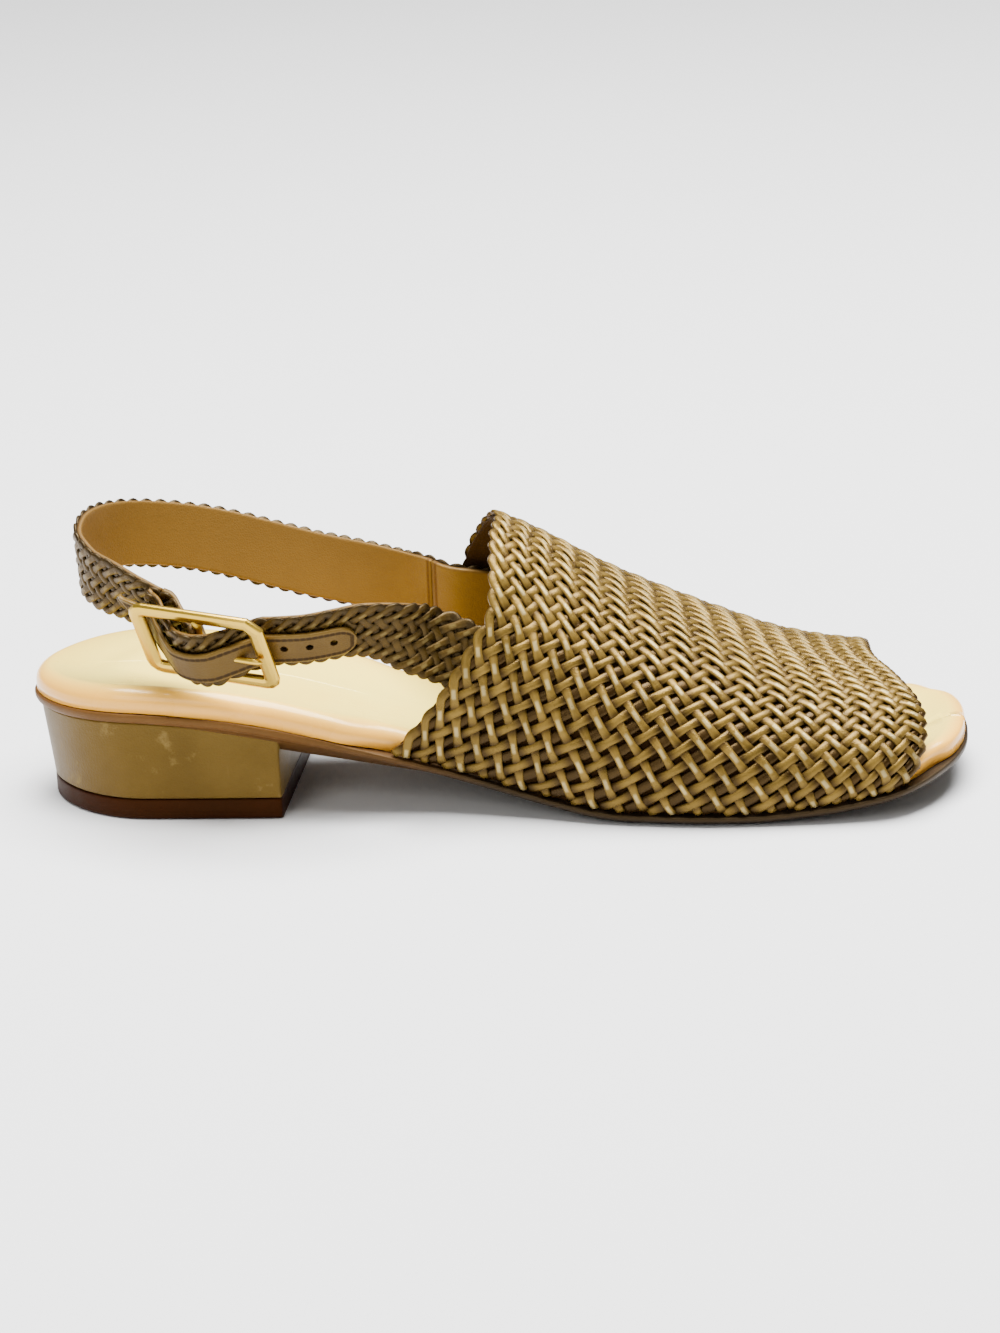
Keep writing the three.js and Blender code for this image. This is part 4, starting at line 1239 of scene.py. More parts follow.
@dataclass
class Sole:
    """Outsole, footbed, covered heel block and top lift."""

    form: SoleForm
    shop: Workshop
    effect: Effect
    inset: float = 0.7
    thickness: float = 6.6
    rounding: float = 4.4
    dish: float = 1.6
    arch: float = 4.2
    wall_room: float = VampForm.inset - inset + StrapForm.vamp_wall + 4 * SoleForm.gap
    breast: float = 75.0
    breast_corner: float = 0.9
    lift: float = 5.8
    rake: float = 3.6
    heel_inset: float = 1.7

    def __post_init__(self) -> None:
        """Reads the footbed's table."""
        self.thick, self.arched, self.rebate, self.shoulder = columns(
            (0, 1, 0, 0, 1), (.2, 1.05, .2, 0, 1), (.34, 1, .85, 0, .95), (.4, .97, 1, 1, .85),
            (.55, .88, .45, 1, .7), (.7, .84, 0, 1, .6), (.96, .88, 0, 1, .55),
            (.985, .9, 0, .2, .55), (1, .92, 0, 0, .55),
        )

    def footbed_inset(self, x: Array) -> Array:
        """Returns the distance from the sole's edge to the footbed's side."""
        return self.inset + self.wall_room * self.rebate(x / self.form.length)

    def footbed_top(self, x: Array, y: Array) -> Array:
        """Height of the footbed at its rim.

        Args:
            x: places along the foot.
            y: places across it.

        Returns:
            The heights.
        """
        along = x / self.form.length
        reach = np.clip(y / (self.form.ball_width / 2), 0, None)
        rise = self.thickness * self.thick(along) + self.arch * self.arched(along) * reach**2
        return self.form.top(x) + self.form.gap + rise

    def build_outsole(self) -> None:
        """Makes the thin sole plate with its softened edges, darkened towards the forefoot as painted shade.
        """
        form = self.form
        loops = []
        feather = Curve((0, .28, .42, .93, 1), (0, 0, 1, 1, 0))
        # drawn in all round, drawn in further where the edge is feathered, share of the thickness
        edge_rows = (
            (0.9, 2.4, 0), (0.5, 1.6, 0.12), (0.15, 0.7, 0.35), (0, 0.15, 0.6), (0, 0, 0.85),
            (0.2, 0.1, 0.97), (0.6, 0, 1),
        )
        for inset, drawn, share in edge_rows:
            level = lambda x, y, share=share: form.bottom(x) + form.thickness * share
            edge = lambda x, inset=inset, drawn=drawn: inset + drawn * feather(x / form.length)
            loops.append(form.loop(form.stations(inset), edge, level))
        points, faces = self.shop.stack(loops)
        # painted shade: the edge turns near-black from the waist to the toe, where it lies in shadow
        dark_from, dark_over = 0.3, 0.2
        forefoot_shade = np.clip((points[:, 0] / form.length - dark_from) / dark_over, 0, 1)
        finish = PlainLeather(
            "outsole_edge", (0.1, 0.042, 0.01), 0.5, second=(0.07, 0.028, 0.006), mottle_scale=90,
            grain_scale=1400, grain_depth=0.2, tone_name="dark", tone_colour=(0.012, 0.007, 0.004),
            specular=0.3,
        ).build(self.effect)
        tones = {"dark": forefoot_shade}
        self.shop.piece("outsole_plate", points, faces, finish, "outsole", "outsole", tones=tones)

    def build_footbed(self) -> None:
        """Makes the leather-wrapped footbed: upright rim, rounded shoulder and dished top, with painted light
        that makes the rim a darker tan than the pale cream top.
        """
        form = self.form
        loops, rim = [], []
        # rim tone: painted light, darker tan on the upright sides and shoulder and fading into the top,
        # standing for how the overhead light falls on the one leather
        rim_fade, rim_reach, innermost = 0.75, 2.5, 9
        foot = lambda x, y: form.top(x) + form.gap
        loops.append(form.loop(form.stations(self.inset), self.footbed_inset, foot))
        rim.append(1.0)
        for angle in np.linspace(0, math.pi / 2, 11):
            drawn = self.rounding * (1 - math.cos(angle))
            below = self.rounding * (1 - math.sin(angle))
            inset = lambda x, drawn=drawn: self.footbed_inset(x + drawn) + drawn
            shoulder = lambda x, below=below: below * self.shoulder(x / form.length)
            level = lambda x, y, shoulder=shoulder: self.footbed_top(x, y) - shoulder(x)
            loops.append(form.loop(form.stations(self.inset + drawn), inset, level))
            rim.append(1.0 - rim_fade * (angle / (math.pi / 2)) ** 2)
        depth_of = Curve((0, 3, 6, 9, 20), (0, .35, .8, 1, 1))
        squeeze_of = Curve((0, 3, 6, 9, 20), (1, 1, .8, .45, .02))
        for ring in (0.8, 1.6, 2.4, 3.2, 4, 5, 6, 7, 8, 9, 11, 14, 20):
            drawn = self.rounding + min(ring, innermost)
            inset = lambda x, drawn=drawn: self.footbed_inset(x + drawn) + drawn
            level = lambda x, y, ring=ring: self.footbed_top(x, y) - self.dish * depth_of(ring)
            squeeze = float(squeeze_of(ring))
            loops.append(form.loop(form.stations(self.inset + drawn), inset, level, squeeze))
            rim.append((1 - rim_fade) * math.exp(-ring / rim_reach))
        points, faces = self.shop.stack(loops)
        tone = np.repeat(np.array(rim), len(loops[0]))
        # its tone colour is the rim's painted darker tan
        finish = PlainLeather(
            "footbed_leather", (0.95, 0.74, 0.13), 0.28, coat=0.35, coat_roughness=0.12,
            second=(0.92, 0.65, 0.09), mottle_scale=30, mottle=0.6, grain_scale=1600, grain_depth=0.08,
            tone_name="rim", tone_colour=(0.85, 0.4, 0.04), sheen_tint=(1.0, 0.9, 0.65),
        ).build(self.effect)
        piece = self.shop.piece(
            "footbed_pad", points, faces, finish, "footbed", "footbed", tones={"rim": tone},
        )

    def heel_loop(self, rake: float, inset: float, level: Callable[[Array], Array], corner: float) -> Array:
        """Loop round the heel to its flat breast.

        Args:
            rake: how far the back leans in.
            inset: how far the sides are drawn in.
            level: height of the loop at x.
            corner: rounding of the two breast corners.

        Returns:
            Points of the loop.
        """
        form = self.form
        steps, clear, part = 240, 2, corner * 0.3
        xs = form.stations(inset, steps)
        turn = [self.breast - corner, self.breast - part, self.breast]
        xs = np.concatenate([xs[xs < self.breast - clear], turn])
        draw = np.zeros_like(xs)
        draw[-2:] = part, corner
        points = []
        for side, run in ((-1, slice(None)), (1, slice(None, 0, -1))):
            x = xs[run]
            y = side * (form.half_width(x, side, inset) - draw[run])
            points.append(np.stack([x, y], axis=-1))
        loop = np.concatenate(points)
        x = loop[:, 0] + rake * (1 - loop[:, 0] / self.breast)
        return np.stack([x, loop[:, 1], level(x)], axis=-1)

    def build_heel(self) -> None:
        """Makes the leather-covered block and the dark top lift."""
        form = self.form
        floor = self.lift + form.gap
        rake_of, inset_of = columns((0, 1, .4), (.45, .6, .6), (.8, .2, .9), (1, 0, 1))
        loops = []
        foot_draw = 0.35
        for rise in (0, 0.012, *np.linspace(0.04, 0.97, 14), 1):
            inset = self.heel_inset * float(inset_of(rise)) + (foot_draw if rise == 0 else 0)
            level = lambda x, rise=rise: floor + (form.bottom(x) - form.gap - floor) * rise
            loops.append(self.heel_loop(self.rake * float(rake_of(rise)), inset, level, self.breast_corner))
        points, faces = self.shop.stack(loops)
        cover = PlainLeather(
            "heel_cover_leather", (0.1, 0.058, 0.009), 0.42, second=(0.076, 0.043, 0.006), mottle_scale=45,
            mottle=0.7, grain_scale=1100, grain_depth=0.25, scuff=0.55, scuff_colour=(0.28, 0.19, 0.06),
            specular=0.3,
        ).build(self.effect)
        self.shop.piece("heel_cover", points, faces, cover, "heel_block", "heel_block")
        inset = self.heel_inset * float(inset_of(0))
        # drawn in, and level
        edge_rows = ((0.5, 0), (0.1, 0.3), (0, 0.9), (0, self.lift - 0.5), (0.3, self.lift))
        loops = [
            self.heel_loop(self.rake, inset + drawn, lambda x, level=level: level + 0 * x, self.breast_corner)
            for drawn, level in edge_rows
        ]
        points, faces = self.shop.stack(loops)
        rubber = PlainLeather(
            "top_lift_rubber", (0.02, 0.003, 0.0002), 0.55, second=(0.028, 0.005, 0.0004), mottle_scale=120,
            grain_scale=2000, grain_depth=0.15, scuff=0.3, scuff_colour=(0.08, 0.03, 0.006), specular=0.15,
        ).build(self.effect)
        self.shop.piece("top_lift", points, faces, rubber, "heel_top_lift", "heel_top_lift")


@dataclass
class Vamp:
    """Plaited vamp over a thin dark brown lining, painted near-black as painted shade inside the shoe and in
    the gaps between the strips.
    """

    form: VampForm
    shop: Workshop
    strip: bpy.types.Material
    effect: Effect
    rows: int = 28
    half_columns: int = 32
    crowding: float = 0.24
    column_crowding: float = -0.2
    lining_depths: tuple[float, float] = (1.15, 2.15)
    lining_margin: float = 0.22
    lining_steps: tuple[int, int] = (65, 129)

    def surface(self, u: Array, v: Array) -> Array:
        """Lays the plait on the vamp.

        Args:
            u: half columns of the plait.
            v: rows of the plait.

        Returns:
            Points of the vamp.
        """
        spread = lambda q, crowding: q + crowding * np.sin(2 * math.pi * q) / (2 * math.pi)
        reach = spread(u / self.half_columns, self.column_crowding)
        return self.form.points(reach, spread(v / self.rows, self.crowding))

    def build(self) -> None:
        """Makes the strips in two sets, and the lining behind them."""
        weave = Weave(self.half_columns, self.rows, tuck=1.1)
        weave.lay(self.surface)
        self.shop.plait(("vamp_strips_first", "vamp_strips_second"), weave, self.strip, "upper")
        u = np.linspace(self.lining_margin, self.half_columns - self.lining_margin, self.lining_steps[0])
        v = np.linspace(0, self.rows, self.lining_steps[1])
        grid = np.meshgrid(u, v, indexing="ij")
        # near-black: the lining's dark brown deepened into painted shade inside the shoe and behind the
        # strips
        lining = PlainLeather(
            "vamp_lining", (0.022, 0.008, 0.002), 0.9, second=(0.012, 0.005, 0.001), grain_scale=700,
            specular=0.2,
        ).build(self.effect)
        surface, normal = weave.read(weave.points, *grid), unit(weave.read(weave.normal, *grid))
        points, faces = self.shop.sheet(*(surface - normal * depth for depth in self.lining_depths))
        self.shop.piece("vamp_lining", points, faces, lining, "upper", "upper")


@dataclass
class Straps:
    """Plaited back strap and front strap with their tan linings."""

    form: StrapForm
    shop: Workshop
    strip: bpy.types.Material
    effect: Effect
    row_pitch: float = 4.2
    half_columns: int = 6
    seam_at: float = 26.0
    seam_gap: float = 0.35
    stitch_before: float = 1.3
    stitch_after: float = 1.6
    lining_step: float = 1.5
    lining_margin: float = 0.9
    no_seam: float = -9.0

    def plait(self, name: str, slot: str, start: float, end: float,
              face: Callable, width: Callable) -> None:
        """Makes one plaited strap.

        Args:
            name: name of its pieces.
            slot: CAD node that the strap stands for.
            start: distance of one end along the strap line.
            end: distance of the other end.
            face: gives points for distance, height across and lift.
            width: gives the width at a distance.
        """
        rows = round((end - start) / self.row_pitch)
        weave = Weave(
            self.half_columns, rows, thickness=1.0, strip_width=2.15, swing=0.3, dive=0.5, level=-0.05,
            steps=10, stray=0.02, turn=0.3, seed=11,
        )
        weave.lay_along(face, width, start, end)
        self.shop.plait([f"{name}_strips_{parity}" for parity in (0, 1)], weave, self.strip, slot)

    def lining(self, name: str, slot: str, start: float, end: float, face: Callable, width: Callable,
               seam: float, outer: float = -0.7, inner: float = -2.15) -> None:
        """Makes the smooth leather inside a strap, with its face under the plait painted near-black as
        painted shade in the gaps between the strips.

        Args:
            name: piece's name.
            slot: CAD node that the lining stands for.
            start: distance of one end along the strap line.
            end: distance of the other end.
            face: gives points for distance, height across and lift.
            width: gives the width at a distance.
            seam: distance of the row of stitches.
            outer: offset of the face that carries the plait.
            inner: offset of the face towards the foot.
        """
        distance = np.linspace(start, end, max(12, int((end - start) / self.lining_step)))
        across = np.array([-1, -0.97, -0.9, -0.6, 0, 0.6, 0.9, 0.97, 1]) / 2
        d, c = np.meshgrid(distance, across, indexing="ij")
        span = width(d) - self.lining_margin
        outermost, worn_off = 0.99, 0.35
        round_off = worn_off * (np.abs(c) * 2 > outermost)
        points, faces = self.shop.sheet(face(d, c * span, outer), face(d, c * span, inner + round_off))
        # the face under the plait is marked for its near-black painted shade
        tones = {
            "from_line": np.tile((d - seam).ravel(), 2),
            "run": np.tile((c * span).ravel(), 2),
            "painted_gap_shade": np.repeat([1.0, 0.0], d.size),
        }
        self.shop.piece(name, points, faces, self.tan, slot, slot, tones=tones)

    def build(self) -> None:
        """Makes both straps."""
        form = self.form
        # its tone colour is the near-black painted shade on the lining's face under the plait
        self.tan = PlainLeather(
            "strap_lining_leather", (0.12, 0.06, 0.0095), 0.5, second=(0.088, 0.042, 0.0055),
            mottle_scale=45, grain_scale=1300, grain_depth=0.25, stitch_pitch=1.7,
            stitch_colour=(0.07, 0.03, 0.006), tone_name="painted_gap_shade", tone_colour=(0.02, 0.008, 0.002),
        ).build(self.effect)
        start = form.buckle_at + form.chape_length + form.gap
        wide = lambda d: form.width + 0 * d
        self.plait("heel_strap", "heel_strap", start, form.length, form.back_face, wide)
        seam = form.length - self.seam_at
        self.lining(
            "heel_strap_lining", "heel_strap", start, seam, form.back_face, wide, seam - self.stitch_before,
        )
        self.lining(
            "heel_strap_lining_end", "heel_strap", seam + self.seam_gap, form.length, form.back_face, wide,
            seam + self.stitch_after, inner=-2.2,
        )
        narrow = lambda d: form.width * form.share((form.buckle_at - d) / form.buckle_length)
        end = form.buckle_at + form.front_past
        self.plait("front_strap", "front_strap", 0, end, form.front_face, narrow)
        self.lining("front_strap_lining", "front_strap", 0, end, form.front_face, narrow, self.no_seam)


@dataclass
class Buckle:
    """Frame, prong, chape and the smooth tab with its holes."""

    form: StrapForm
    shop: Workshop
    effect: Effect
    height: float = 27.0
    bar: float = 4.2
    side_bar: float = 4.9
    corner: float = 2.6
    drop: float = 0.5
    tab_width: float = 10.6
    tab_before: float = 41.0
    tab_past: float = 27.5
    tab_point: float = 8.0
    first_hole: float = 21.8
    hole_pitch: float = 6.4
    hole: float = 1.05
    margin: float = 1.35
    blunt: float = 0.1

    def world(self, points: Array) -> Array:
        """Returns buckle points on the strap line's millimetres."""
        matrix = np.array(self.form.buckle_axes())
        return points @ matrix[:3, :3].T + matrix[:3, 3]

    def sweep(self, path: Array, sizes: Array, section: Array, closed: bool = False,
              flat: Array | None = None) -> tuple[Array, list]:
        """Runs a section along a path in the buckle's plane.

        Args:
            path: points of the path.
            sizes: half width and half thickness at each point.
            section: corners of the section, across and out, for a half size of one.
            closed: whether the path is a ring.
            flat: normal of the plane that the path lies in.

        Returns:
            Corners and faces.
        """
        flat = np.array([0, 0, 1.0]) if flat is None else flat
        if closed:
            before, after = unit(path - np.roll(path, 1, 0)), unit(np.roll(path, -1, 0) - path)
        else:
            steps = unit(np.diff(path, axis=0))
            before, after = np.vstack([steps[:1], steps]), np.vstack([steps, steps[-1:]])
        along = unit(before + after)
        side = np.cross(flat, along)
        sharpest = 0.4
        stretch = 1 / np.maximum(np.sum(before * along, axis=1), sharpest)
        ring = (
            path[:, None, :]
            + side[:, None, :] * (section[None, :, 0] * (sizes[:, 0] * stretch)[:, None])[..., None]
            + flat[None, None, :] * (section[None, :, 1] * sizes[:, 1][:, None])[..., None]
        )
        if not closed:
            return self.shop.stack(ring)
        rows, sides = ring.shape[:2]
        faces = self.shop.grid_faces(rows + 1, sides, ring=True) % (rows * sides)
        return ring.reshape(-1, 3), faces.tolist()

    def build_frame(self, metal: bpy.types.Material) -> None:
        """Makes the rectangular frame with cut corners, and its centre bar.

        Args:
            metal: plated finish.
        """
        form = self.form
        x, y, c = (form.buckle_length - self.bar) / 2, (self.height - self.bar) / 2, self.corner
        corners, widths = [], []
        # signs of each corner's quarter, and steps of its turn
        for sx, sy, steps in ((1, 1, 1), (-1, 1, 3), (-1, -1, 3), (1, -1, 3)):
            turn = [math.pi / 2 * k / steps for k in range(steps + 1)]
            if sx * sy < 0:
                turn.reverse()
            for angle in turn:
                across, up = x - c + c * math.cos(angle), y - c + c * math.sin(angle)
                corners.append((sx * across, sy * up, 0.0))
                widths.append(self.side_bar + (self.bar - self.side_bar) * angle / (math.pi / 2))
        path = np.array(corners)
        thickness = np.full(len(path), form.bar_thickness)
        sizes = np.stack([np.array(widths), thickness], -1) / 2
        facets = np.array([
            (-1, -0.3), (-1, 0.2), (-0.8, 0.68), (-0.35, 1), (0.35, 1), (0.8, 0.68), (1, 0.2),
            (1, -0.3), (0.75, -1), (-0.75, -1),
        ])
        points, faces = self.sweep(path, sizes, facets, closed=True)
        piece = self.shop.piece(
            "buckle_frame_bars", self.world(points), faces, metal, "buckle_frame", "buckle_frame",
            smooth=False,
        )
        softening, rounds, least_angle = 0.2 * MM, 3, 0.2
        bevel = piece.modifiers.new("softened", "BEVEL")
        bevel.width, bevel.segments = softening, rounds
        bevel.limit_method, bevel.angle_limit = "ANGLE", least_angle
        piece.data.shade_smooth()
        path = np.array([(0, -y, 0.0), (0, -y / 3, 0.0), (0, y / 3, 0.0), (0, y, 0.0)])
        sizes = np.tile([form.centre_bar / 2] * 2, (4, 1))
        points, faces = self.sweep(path, sizes, self.circle(16))
        self.shop.piece("buckle_centre_bar", self.world(points), faces, metal, "buckle_frame")

    def build_prong(self, metal: bpy.types.Material) -> None:
        """Makes the wire prong from its curl to its rounded tip.

        Args:
            metal: plated finish.
        """
        form = self.form
        curl = form.centre_bar / 2 + form.gap + form.prong
        angle = np.linspace(-math.pi / 3, -1.5 * math.pi, 28)
        ring = np.stack([curl * np.cos(angle), 0 * angle, curl * np.sin(angle)], -1)
        overlap, leave = 0.4, 0.6
        end = form.buckle_length / 2 - self.bar * overlap
        run = np.linspace(leave, end, 24)
        path = np.concatenate([ring, np.stack([run, 0 * run, curl + 0 * run], -1)])
        path[:, 1] -= self.drop
        clear, tip_rows = 0.98, [[0.96], [0.8], [0.4]]
        sizes = np.tile([form.prong * clear] * 2, (len(path), 1))
        sizes[-3:, :] *= np.array(tip_rows)
        points, faces = self.sweep(path, sizes, self.circle(14), flat=np.array([0, 1.0, 0]))
        self.shop.piece("prong_wire", self.world(points), faces, metal, "buckle_prong", "buckle_prong")

    @staticmethod
    def circle(corners: int) -> Array:
        """Returns a round section with that many corners."""
        angle = np.linspace(0, 2 * math.pi, corners, endpoint=False)
        return np.stack([np.cos(angle), np.sin(angle)], -1)

    def tab_half(self, distance: Array) -> Array:
        """Half width of the tab, which is pointed to the heel and round to the toe.

        Args:
            distance: places along the strap line.

        Returns:
            The half widths.
        """
        form = self.form
        tip = np.clip((form.buckle_at + self.tab_past - distance) / self.tab_point, self.blunt, 1)
        start = np.clip((distance - (form.buckle_at - self.tab_before)) / (self.tab_width / 2), 0, 1)
        return self.tab_width / 2 * tip * np.sqrt(np.clip(1 - (1 - start) ** 2, 0.01, 1))

    def tab_face(self, distance: Array, across: Array, lift: Array | float) -> Array:
        """Points over the front strap's outer face.

        Args:
            distance: places along the strap line.
            across: heights across the strap.
            lift: offset from the strap's face along its own normal.

        Returns:
            The points.
        """
        face, step = self.form.front_face, 0.2
        by_d = face(distance + step, across) - face(distance - step, across)
        by_c = face(distance, across + step) - face(distance, across - step)
        normal = unit(np.cross(by_c, by_d))
        return face(distance, across) + normal * (np.asarray(lift) + 0 * distance)[..., None]

    def build_tab(self) -> None:
        """Makes the stitched leather tab with punched holes."""
        form = self.form
        low, high = form.buckle_at - self.tab_before, form.buckle_at + self.tab_past
        ends = self.tab_width / 2 * (1 - np.cos(np.linspace(0, math.pi / 2, 12)))
        distance = np.concatenate([low + ends[:-1], np.linspace(low + self.tab_width / 2, high, 110)])
        across = np.sin(np.linspace(-math.pi / 2, math.pi / 2, 25))
        d, c = np.meshgrid(distance, across, indexing="ij")
        half = self.tab_half(d)
        softening, flat_share = 0.3, 0.9
        softened = softening * np.clip((np.abs(c) - flat_share) / 0.1, 0, 1) ** 2
        top = self.tab_face(d, c * half - self.drop, form.tab_layer - softened)
        low_face = self.tab_face(d, c * half - self.drop, form.tab_layer - form.tab_thickness)
        points, faces = self.shop.sheet(top, low_face)
        point_slope = self.tab_width / 2 / self.tab_point
        from_tip = (high - d) * point_slope - np.abs(c) * half + self.blunt * self.tab_width / 2
        from_edge = np.minimum((1 - np.abs(c)) * half, np.minimum(d - low, from_tip))
        before_line = 0.3
        tones = {
            "from_line": np.tile((from_edge - self.margin).ravel(), 2),
            "run": np.tile(d.ravel(), 2),
            "margin": np.tile((from_edge < self.margin - before_line).ravel(), 2),
        }
        leather = PlainLeather(
            "tab_leather", (0.07, 0.037, 0.0045), 0.45, second=(0.05, 0.025, 0.003), mottle_scale=80,
            mottle=0.7, grain_scale=1300, grain_depth=0.2, tone_name="margin",
            tone_colour=(0.09, 0.05, 0.008), scuff=0.2, scuff_colour=(0.14, 0.085, 0.02),
            stitch_pitch=1.5, stitch_width=0.6, stitch_colour=(0.01, 0.003, 0.0003),
        ).build(self.effect)
        tab = self.shop.piece("tab_leather", points, faces, leather, "hole_tab", "hole_tab", tones=tones)
        self.punch(tab, [form.buckle_at - self.first_hole - self.hole_pitch * i for i in range(3)])

    def punch(self, tab: bpy.types.Object, places: Sequence[float]) -> None:
        """Cuts round holes through the tab.

        Args:
            tab: the tab's piece.
            places: distances of the holes along the strap line.
        """
        for number, distance in enumerate(places):
            at = np.array([distance])
            _, back, up, out = (part[0] for part in self.form.frame(at))
            centre = self.tab_face(at, 0 * at, self.form.tab_layer - self.form.tab_thickness / 2)[0]
            reach = 1.6
            ring = self.circle(24) @ np.stack([up, back])
            loops = [centre + ring * self.hole + out * level for level in (-reach, reach)]
            points, faces = self.shop.stack(loops)
            mesh = bpy.data.meshes.new("punch")
            mesh.from_pydata(self.shop.place.metres(points).tolist(), [], faces)
            self.shop.turn_outward(mesh)
            tool = bpy.data.objects.new("punch", mesh)
            bpy.context.scene.collection.objects.link(tool)
            cut = tab.modifiers.new(f"punch_{number}", "BOOLEAN")
            cut.object, cut.operation, cut.solver = tool, "DIFFERENCE", "EXACT"
            bpy.context.view_layer.objects.active = tab
            bpy.ops.object.modifier_apply(modifier=cut.name)
            bpy.data.objects.remove(tool)

    def build_chape(self, leather: bpy.types.Material, strip: bpy.types.Material) -> None:
        """Makes the plaited fold that holds the frame on the back strap.

        Args:
            leather: smooth taupe finish of its lining and its eye.
            strip: finish of its plait.
        """
        form = self.form
        rise, share = columns(
            (0, 1, .82), (.15, .95, .82), (.4, .5, .88), (.7, .08, .97), (.85, 0, 1), (1, 0, 1),
        )
        eye = form.centre_bar / 2 + form.gap + form.tab_thickness
        length = form.chape_length

        def face(distance: Array, across: Array, lift: Array | float = 0.0) -> Array:
            """Points off the fold's outer face.

            Args:
                distance: places along the strap line.
                across: heights across the strap.
                lift: distances out from the face.

            Returns:
                The points.
            """
            at = (distance - form.buckle_at) / length
            off_strap = (form.bar_level + form.tab_thickness) * rise(at)
            return form.back_face(distance, across, off_strap + lift)

        width = lambda d: form.width * share((d - form.buckle_at) / length)
        start, end = form.buckle_at + eye / 2, form.buckle_at + length
        weave = Weave(
            6, 4, thickness=0.9, strip_width=2.1, swing=0.25, dive=0.4, level=-0.2, steps=12, seed=17,
        )
        weave.lay_along(face, width, start, end)
        self.shop.plait(("chape_strips_0", "chape_strips_1"), weave, strip, "chape")
        margin, outer, inner = 0.9, -0.85, -2.35
        d, c = np.meshgrid(np.linspace(start, end, 40), np.linspace(-0.5, 0.5, 17), indexing="ij")
        across = c * (width(d) - margin)
        points, faces = self.shop.sheet(face(d, across, outer), face(d, across, inner))
        self.shop.piece("chape_lining", points, faces, leather, "chape", "chape")
        angle = np.linspace(0.5 * math.pi, 1.5 * math.pi, 20)
        span, hollow, room = form.width * float(share(0)), 0.58, form.prong + form.gap
        y = np.linspace(-span / 2, span / 2, 15)
        for number, keep in enumerate((y < -self.drop - room, y > -self.drop + room)):
            a, across = np.meshgrid(angle, y[keep], indexing="ij")
            outer = np.stack([eye * np.cos(a), across, eye * np.sin(a)], -1)
            inner = outer * np.array([hollow, 1, hollow])
            points, faces = self.shop.sheet(self.world(outer), self.world(inner))
            self.shop.piece(f"chape_eye_{number}", points, faces, leather, "chape", "chape")

    def build(self, strip: bpy.types.Material) -> None:
        """Makes every part of the fastening.

        Args:
            strip: finish of the plait.
        """
        metal = PlatedMetal(
            "satin_gold_plate", (0.58, 0.37, 0.045), 0.3, metallic=1.0, sheen_tint=(1.0, 1.0, 1.0),
        ).build(self.effect)
        leather = PlainLeather(
            "chape_leather", (0.1, 0.055, 0.014), 0.45, second=(0.07, 0.04, 0.01), mottle_scale=80,
            mottle=0.7, grain_scale=1300, grain_depth=0.2,
        ).build(self.effect)
        self.build_frame(metal)
        self.build_prong(metal)
        self.build_tab()
        self.build_chape(leather, strip)


# ---- studio ----


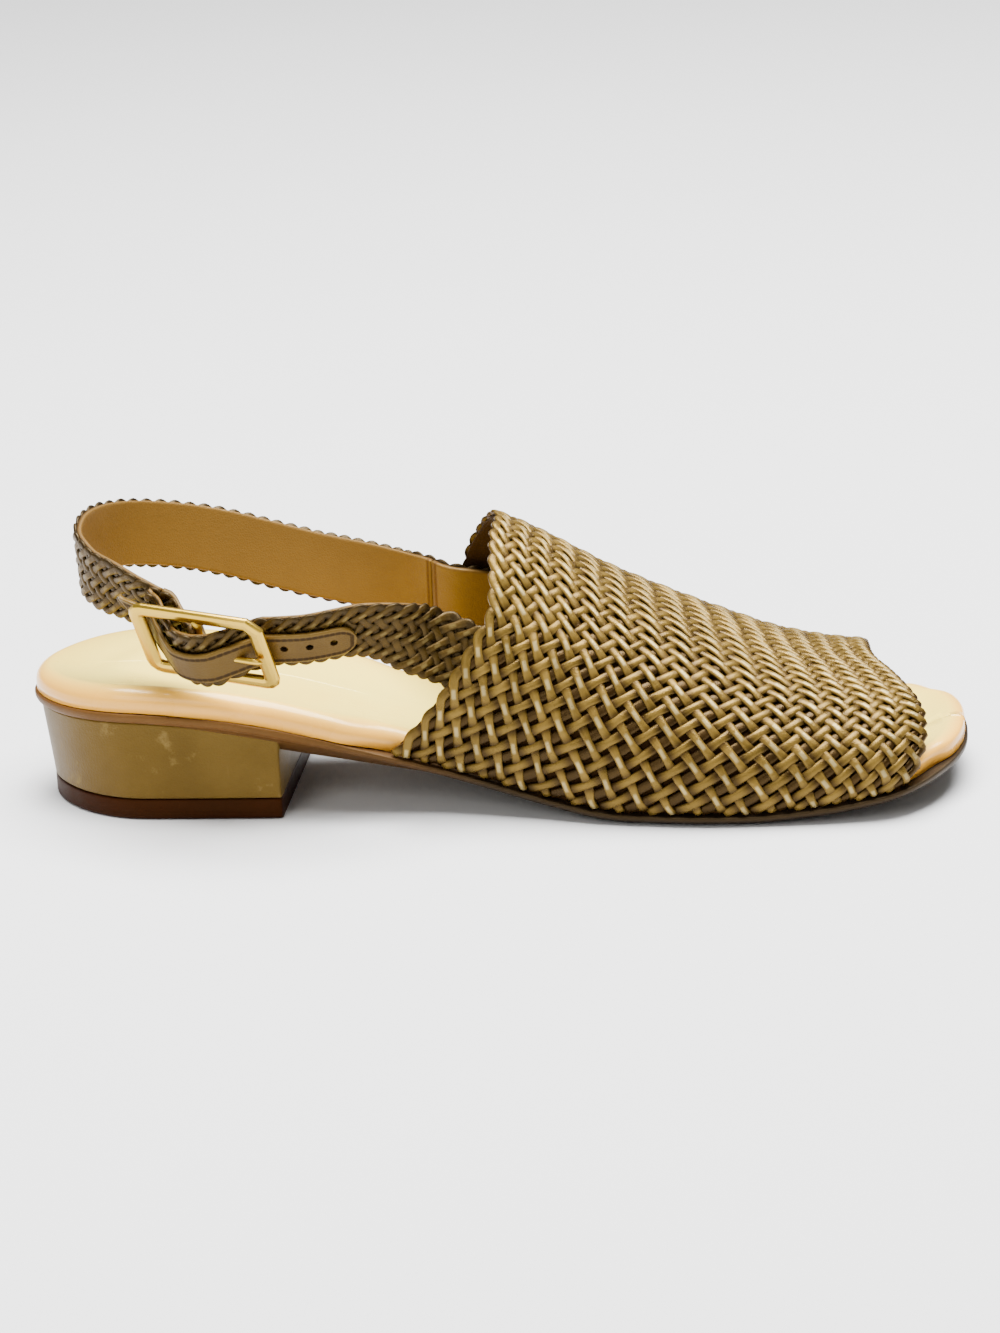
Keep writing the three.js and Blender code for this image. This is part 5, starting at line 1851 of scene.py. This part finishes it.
@dataclass
class Studio:
    """Pale floor, soft light and the photograph's camera.

    The camera's distance and aim are in the shoe's millimetres, its focal length, shift and frame height in
    the photograph's pixels, and the floor and the lamps in metres.
    """

    place: Place
    azimuth: float = math.radians(6.83)
    elevation: float = math.radians(17.87)
    roll: float = math.radians(-3.11)
    distance: float = 1268.0
    focal: float = 4440.0
    frame_height: float = 1333.0
    film: float = 36.0
    shift: tuple[float, float] = (5.8, -21.0)
    aim: tuple[float, float, float] = (134.0, 0.0, 40.0)
    floor_half: float = 6.0
    floor_drop: float = 0.0003
    sky: float = 0.4

    def camera(self) -> None:
        """Sets the camera at the photograph's angle."""
        ce, se = math.cos(self.elevation), math.sin(self.elevation)
        back = Vector((math.sin(self.azimuth) * ce, -math.cos(self.azimuth) * ce, se))
        right = (-back).cross(Vector((0, 0, 1))).normalized()
        up = right.cross(-back)
        turned_right = right * math.cos(self.roll) + up * math.sin(self.roll)
        turned_up = -right * math.sin(self.roll) + up * math.cos(self.roll)
        data = bpy.data.cameras.new("photograph")
        data.sensor_width = self.film
        data.lens = self.focal * self.film / self.frame_height
        data.shift_x = self.shift[0] / self.frame_height
        data.shift_y = self.shift[1] / self.frame_height
        data.clip_start, data.clip_end = 0.05, 20.0
        camera = bpy.data.objects.new("photograph", data)
        aim = Vector(self.place.metres(self.aim))
        turn = Matrix((turned_right, turned_up, back)).transposed().to_4x4()
        camera.matrix_world = Matrix.Translation(aim + back * self.distance * MM) @ turn
        bpy.context.scene.collection.objects.link(camera)
        bpy.context.scene.camera = camera

    def floor(self) -> None:
        """Lays the pale floor."""
        mesh = bpy.data.meshes.new("studio_floor")
        half = self.floor_half
        corners = [(-half, -half, 0), (half, -half, 0), (half, half, 0), (-half, half, 0)]
        mesh.from_pydata(corners, [], [(0, 1, 2, 3)])
        floor = bpy.data.objects.new("studio_floor", mesh)
        floor.location.z = -self.floor_drop
        bpy.context.scene.collection.objects.link(floor)
        paper = Finish("floor_paper", (0.65, 0.65, 0.65), 0.9, sheen_tint=(1.0, 1.0, 1.0))
        material, craft, shader = paper.start()
        cloud = craft.add("TexNoise", {"Vector": craft.add("TexCoord").outputs["Object"], "Scale": 6.0})
        shade = craft.mix(cloud.outputs[0], (0.66, 0.66, 0.66), (0.64, 0.64, 0.64))
        craft.feed(shade, shader.inputs["Base Color"])
        mesh.materials.append(material)
        floor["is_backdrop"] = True

    @staticmethod
    def lamp(name: str, at: tuple[float, float, float], size: float, power: float, tint: Colour) -> None:
        """Hangs one soft lamp aimed at the shoe.

        Args:
            name: lamp's name.
            at: place in metres.
            size: side of the square lamp.
            power: strength in watts.
            tint: colour of its light.
        """
        data = bpy.data.lights.new(name, "AREA")
        data.shape, data.size, data.energy, data.color = "SQUARE", size, power, tint
        lamp = bpy.data.objects.new(name, data)
        lamp.location = at
        lamp.rotation_euler = (Vector((0, 0, 0.03)) - Vector(at)).to_track_quat("-Z", "Y").to_euler()
        bpy.context.scene.collection.objects.link(lamp)

    def light(self) -> None:
        """Sets the white surroundings and the lamps."""
        world = bpy.data.worlds.new("white_room")
        world.use_nodes = True
        sky = world.node_tree.nodes["Background"]
        sky.inputs[0].default_value = (1, 1, 1, 1)
        sky.inputs[1].default_value = self.sky
        bpy.context.scene.world = world
        self.lamp("overhead", (0.1, 0.15, 1.6), 1.3, 170.0, (1, 1, 1))
        self.lamp("front", (-0.6, -1.3, 0.9), 0.8, 9.0, (1, 0.99, 0.97))

    def build(self) -> None:
        """Sets the whole studio."""
        self.camera()
        self.floor()
        self.light()


def write_sizes() -> None:
    """Measures the CAD model's box and the dressed model's box; the result is not kept."""
    corners = lambda box: [list(map(float, corner)) for corner in box]
    {"cad": corners(CAD_BOX), "visual": corners(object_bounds())}


def main() -> None:
    """Builds the shoe piece by piece."""
    logging.basicConfig(level=logging.INFO, format="%(message)s")
    sole_form = SoleForm()
    shop = Workshop(Place(sole_form))
    Studio(shop.place).build()
    effect = Effect()
    strip = StripLeather("vamp_strip_leather", (0.142, 0.087, 0.0165), 0.32, metallic=0.35).build(effect)
    # strap strips: a near-black painted shade colour and a dull painted highlight colour
    strap_strip = StripLeather(
        "strap_strip_leather", (0.044, 0.024, 0.0035), 0.42, metallic=0.2, painted_shade=(0.01, 0.005, 0.001),
        crown=(0.18, 0.13, 0.04),
    ).build(effect)
    sole = Sole(sole_form, shop, effect)
    sole.build_outsole()
    sole.build_footbed()
    sole.build_heel()
    vamp_form = VampForm(sole_form)
    Vamp(vamp_form, shop, strip, effect).build()
    strap_form = StrapForm(vamp_form)
    Straps(strap_form, shop, strap_strip, effect).build()
    Buckle(strap_form, shop, effect).build(strap_strip)
    write_sizes()


if __name__ == "__main__":
    main()
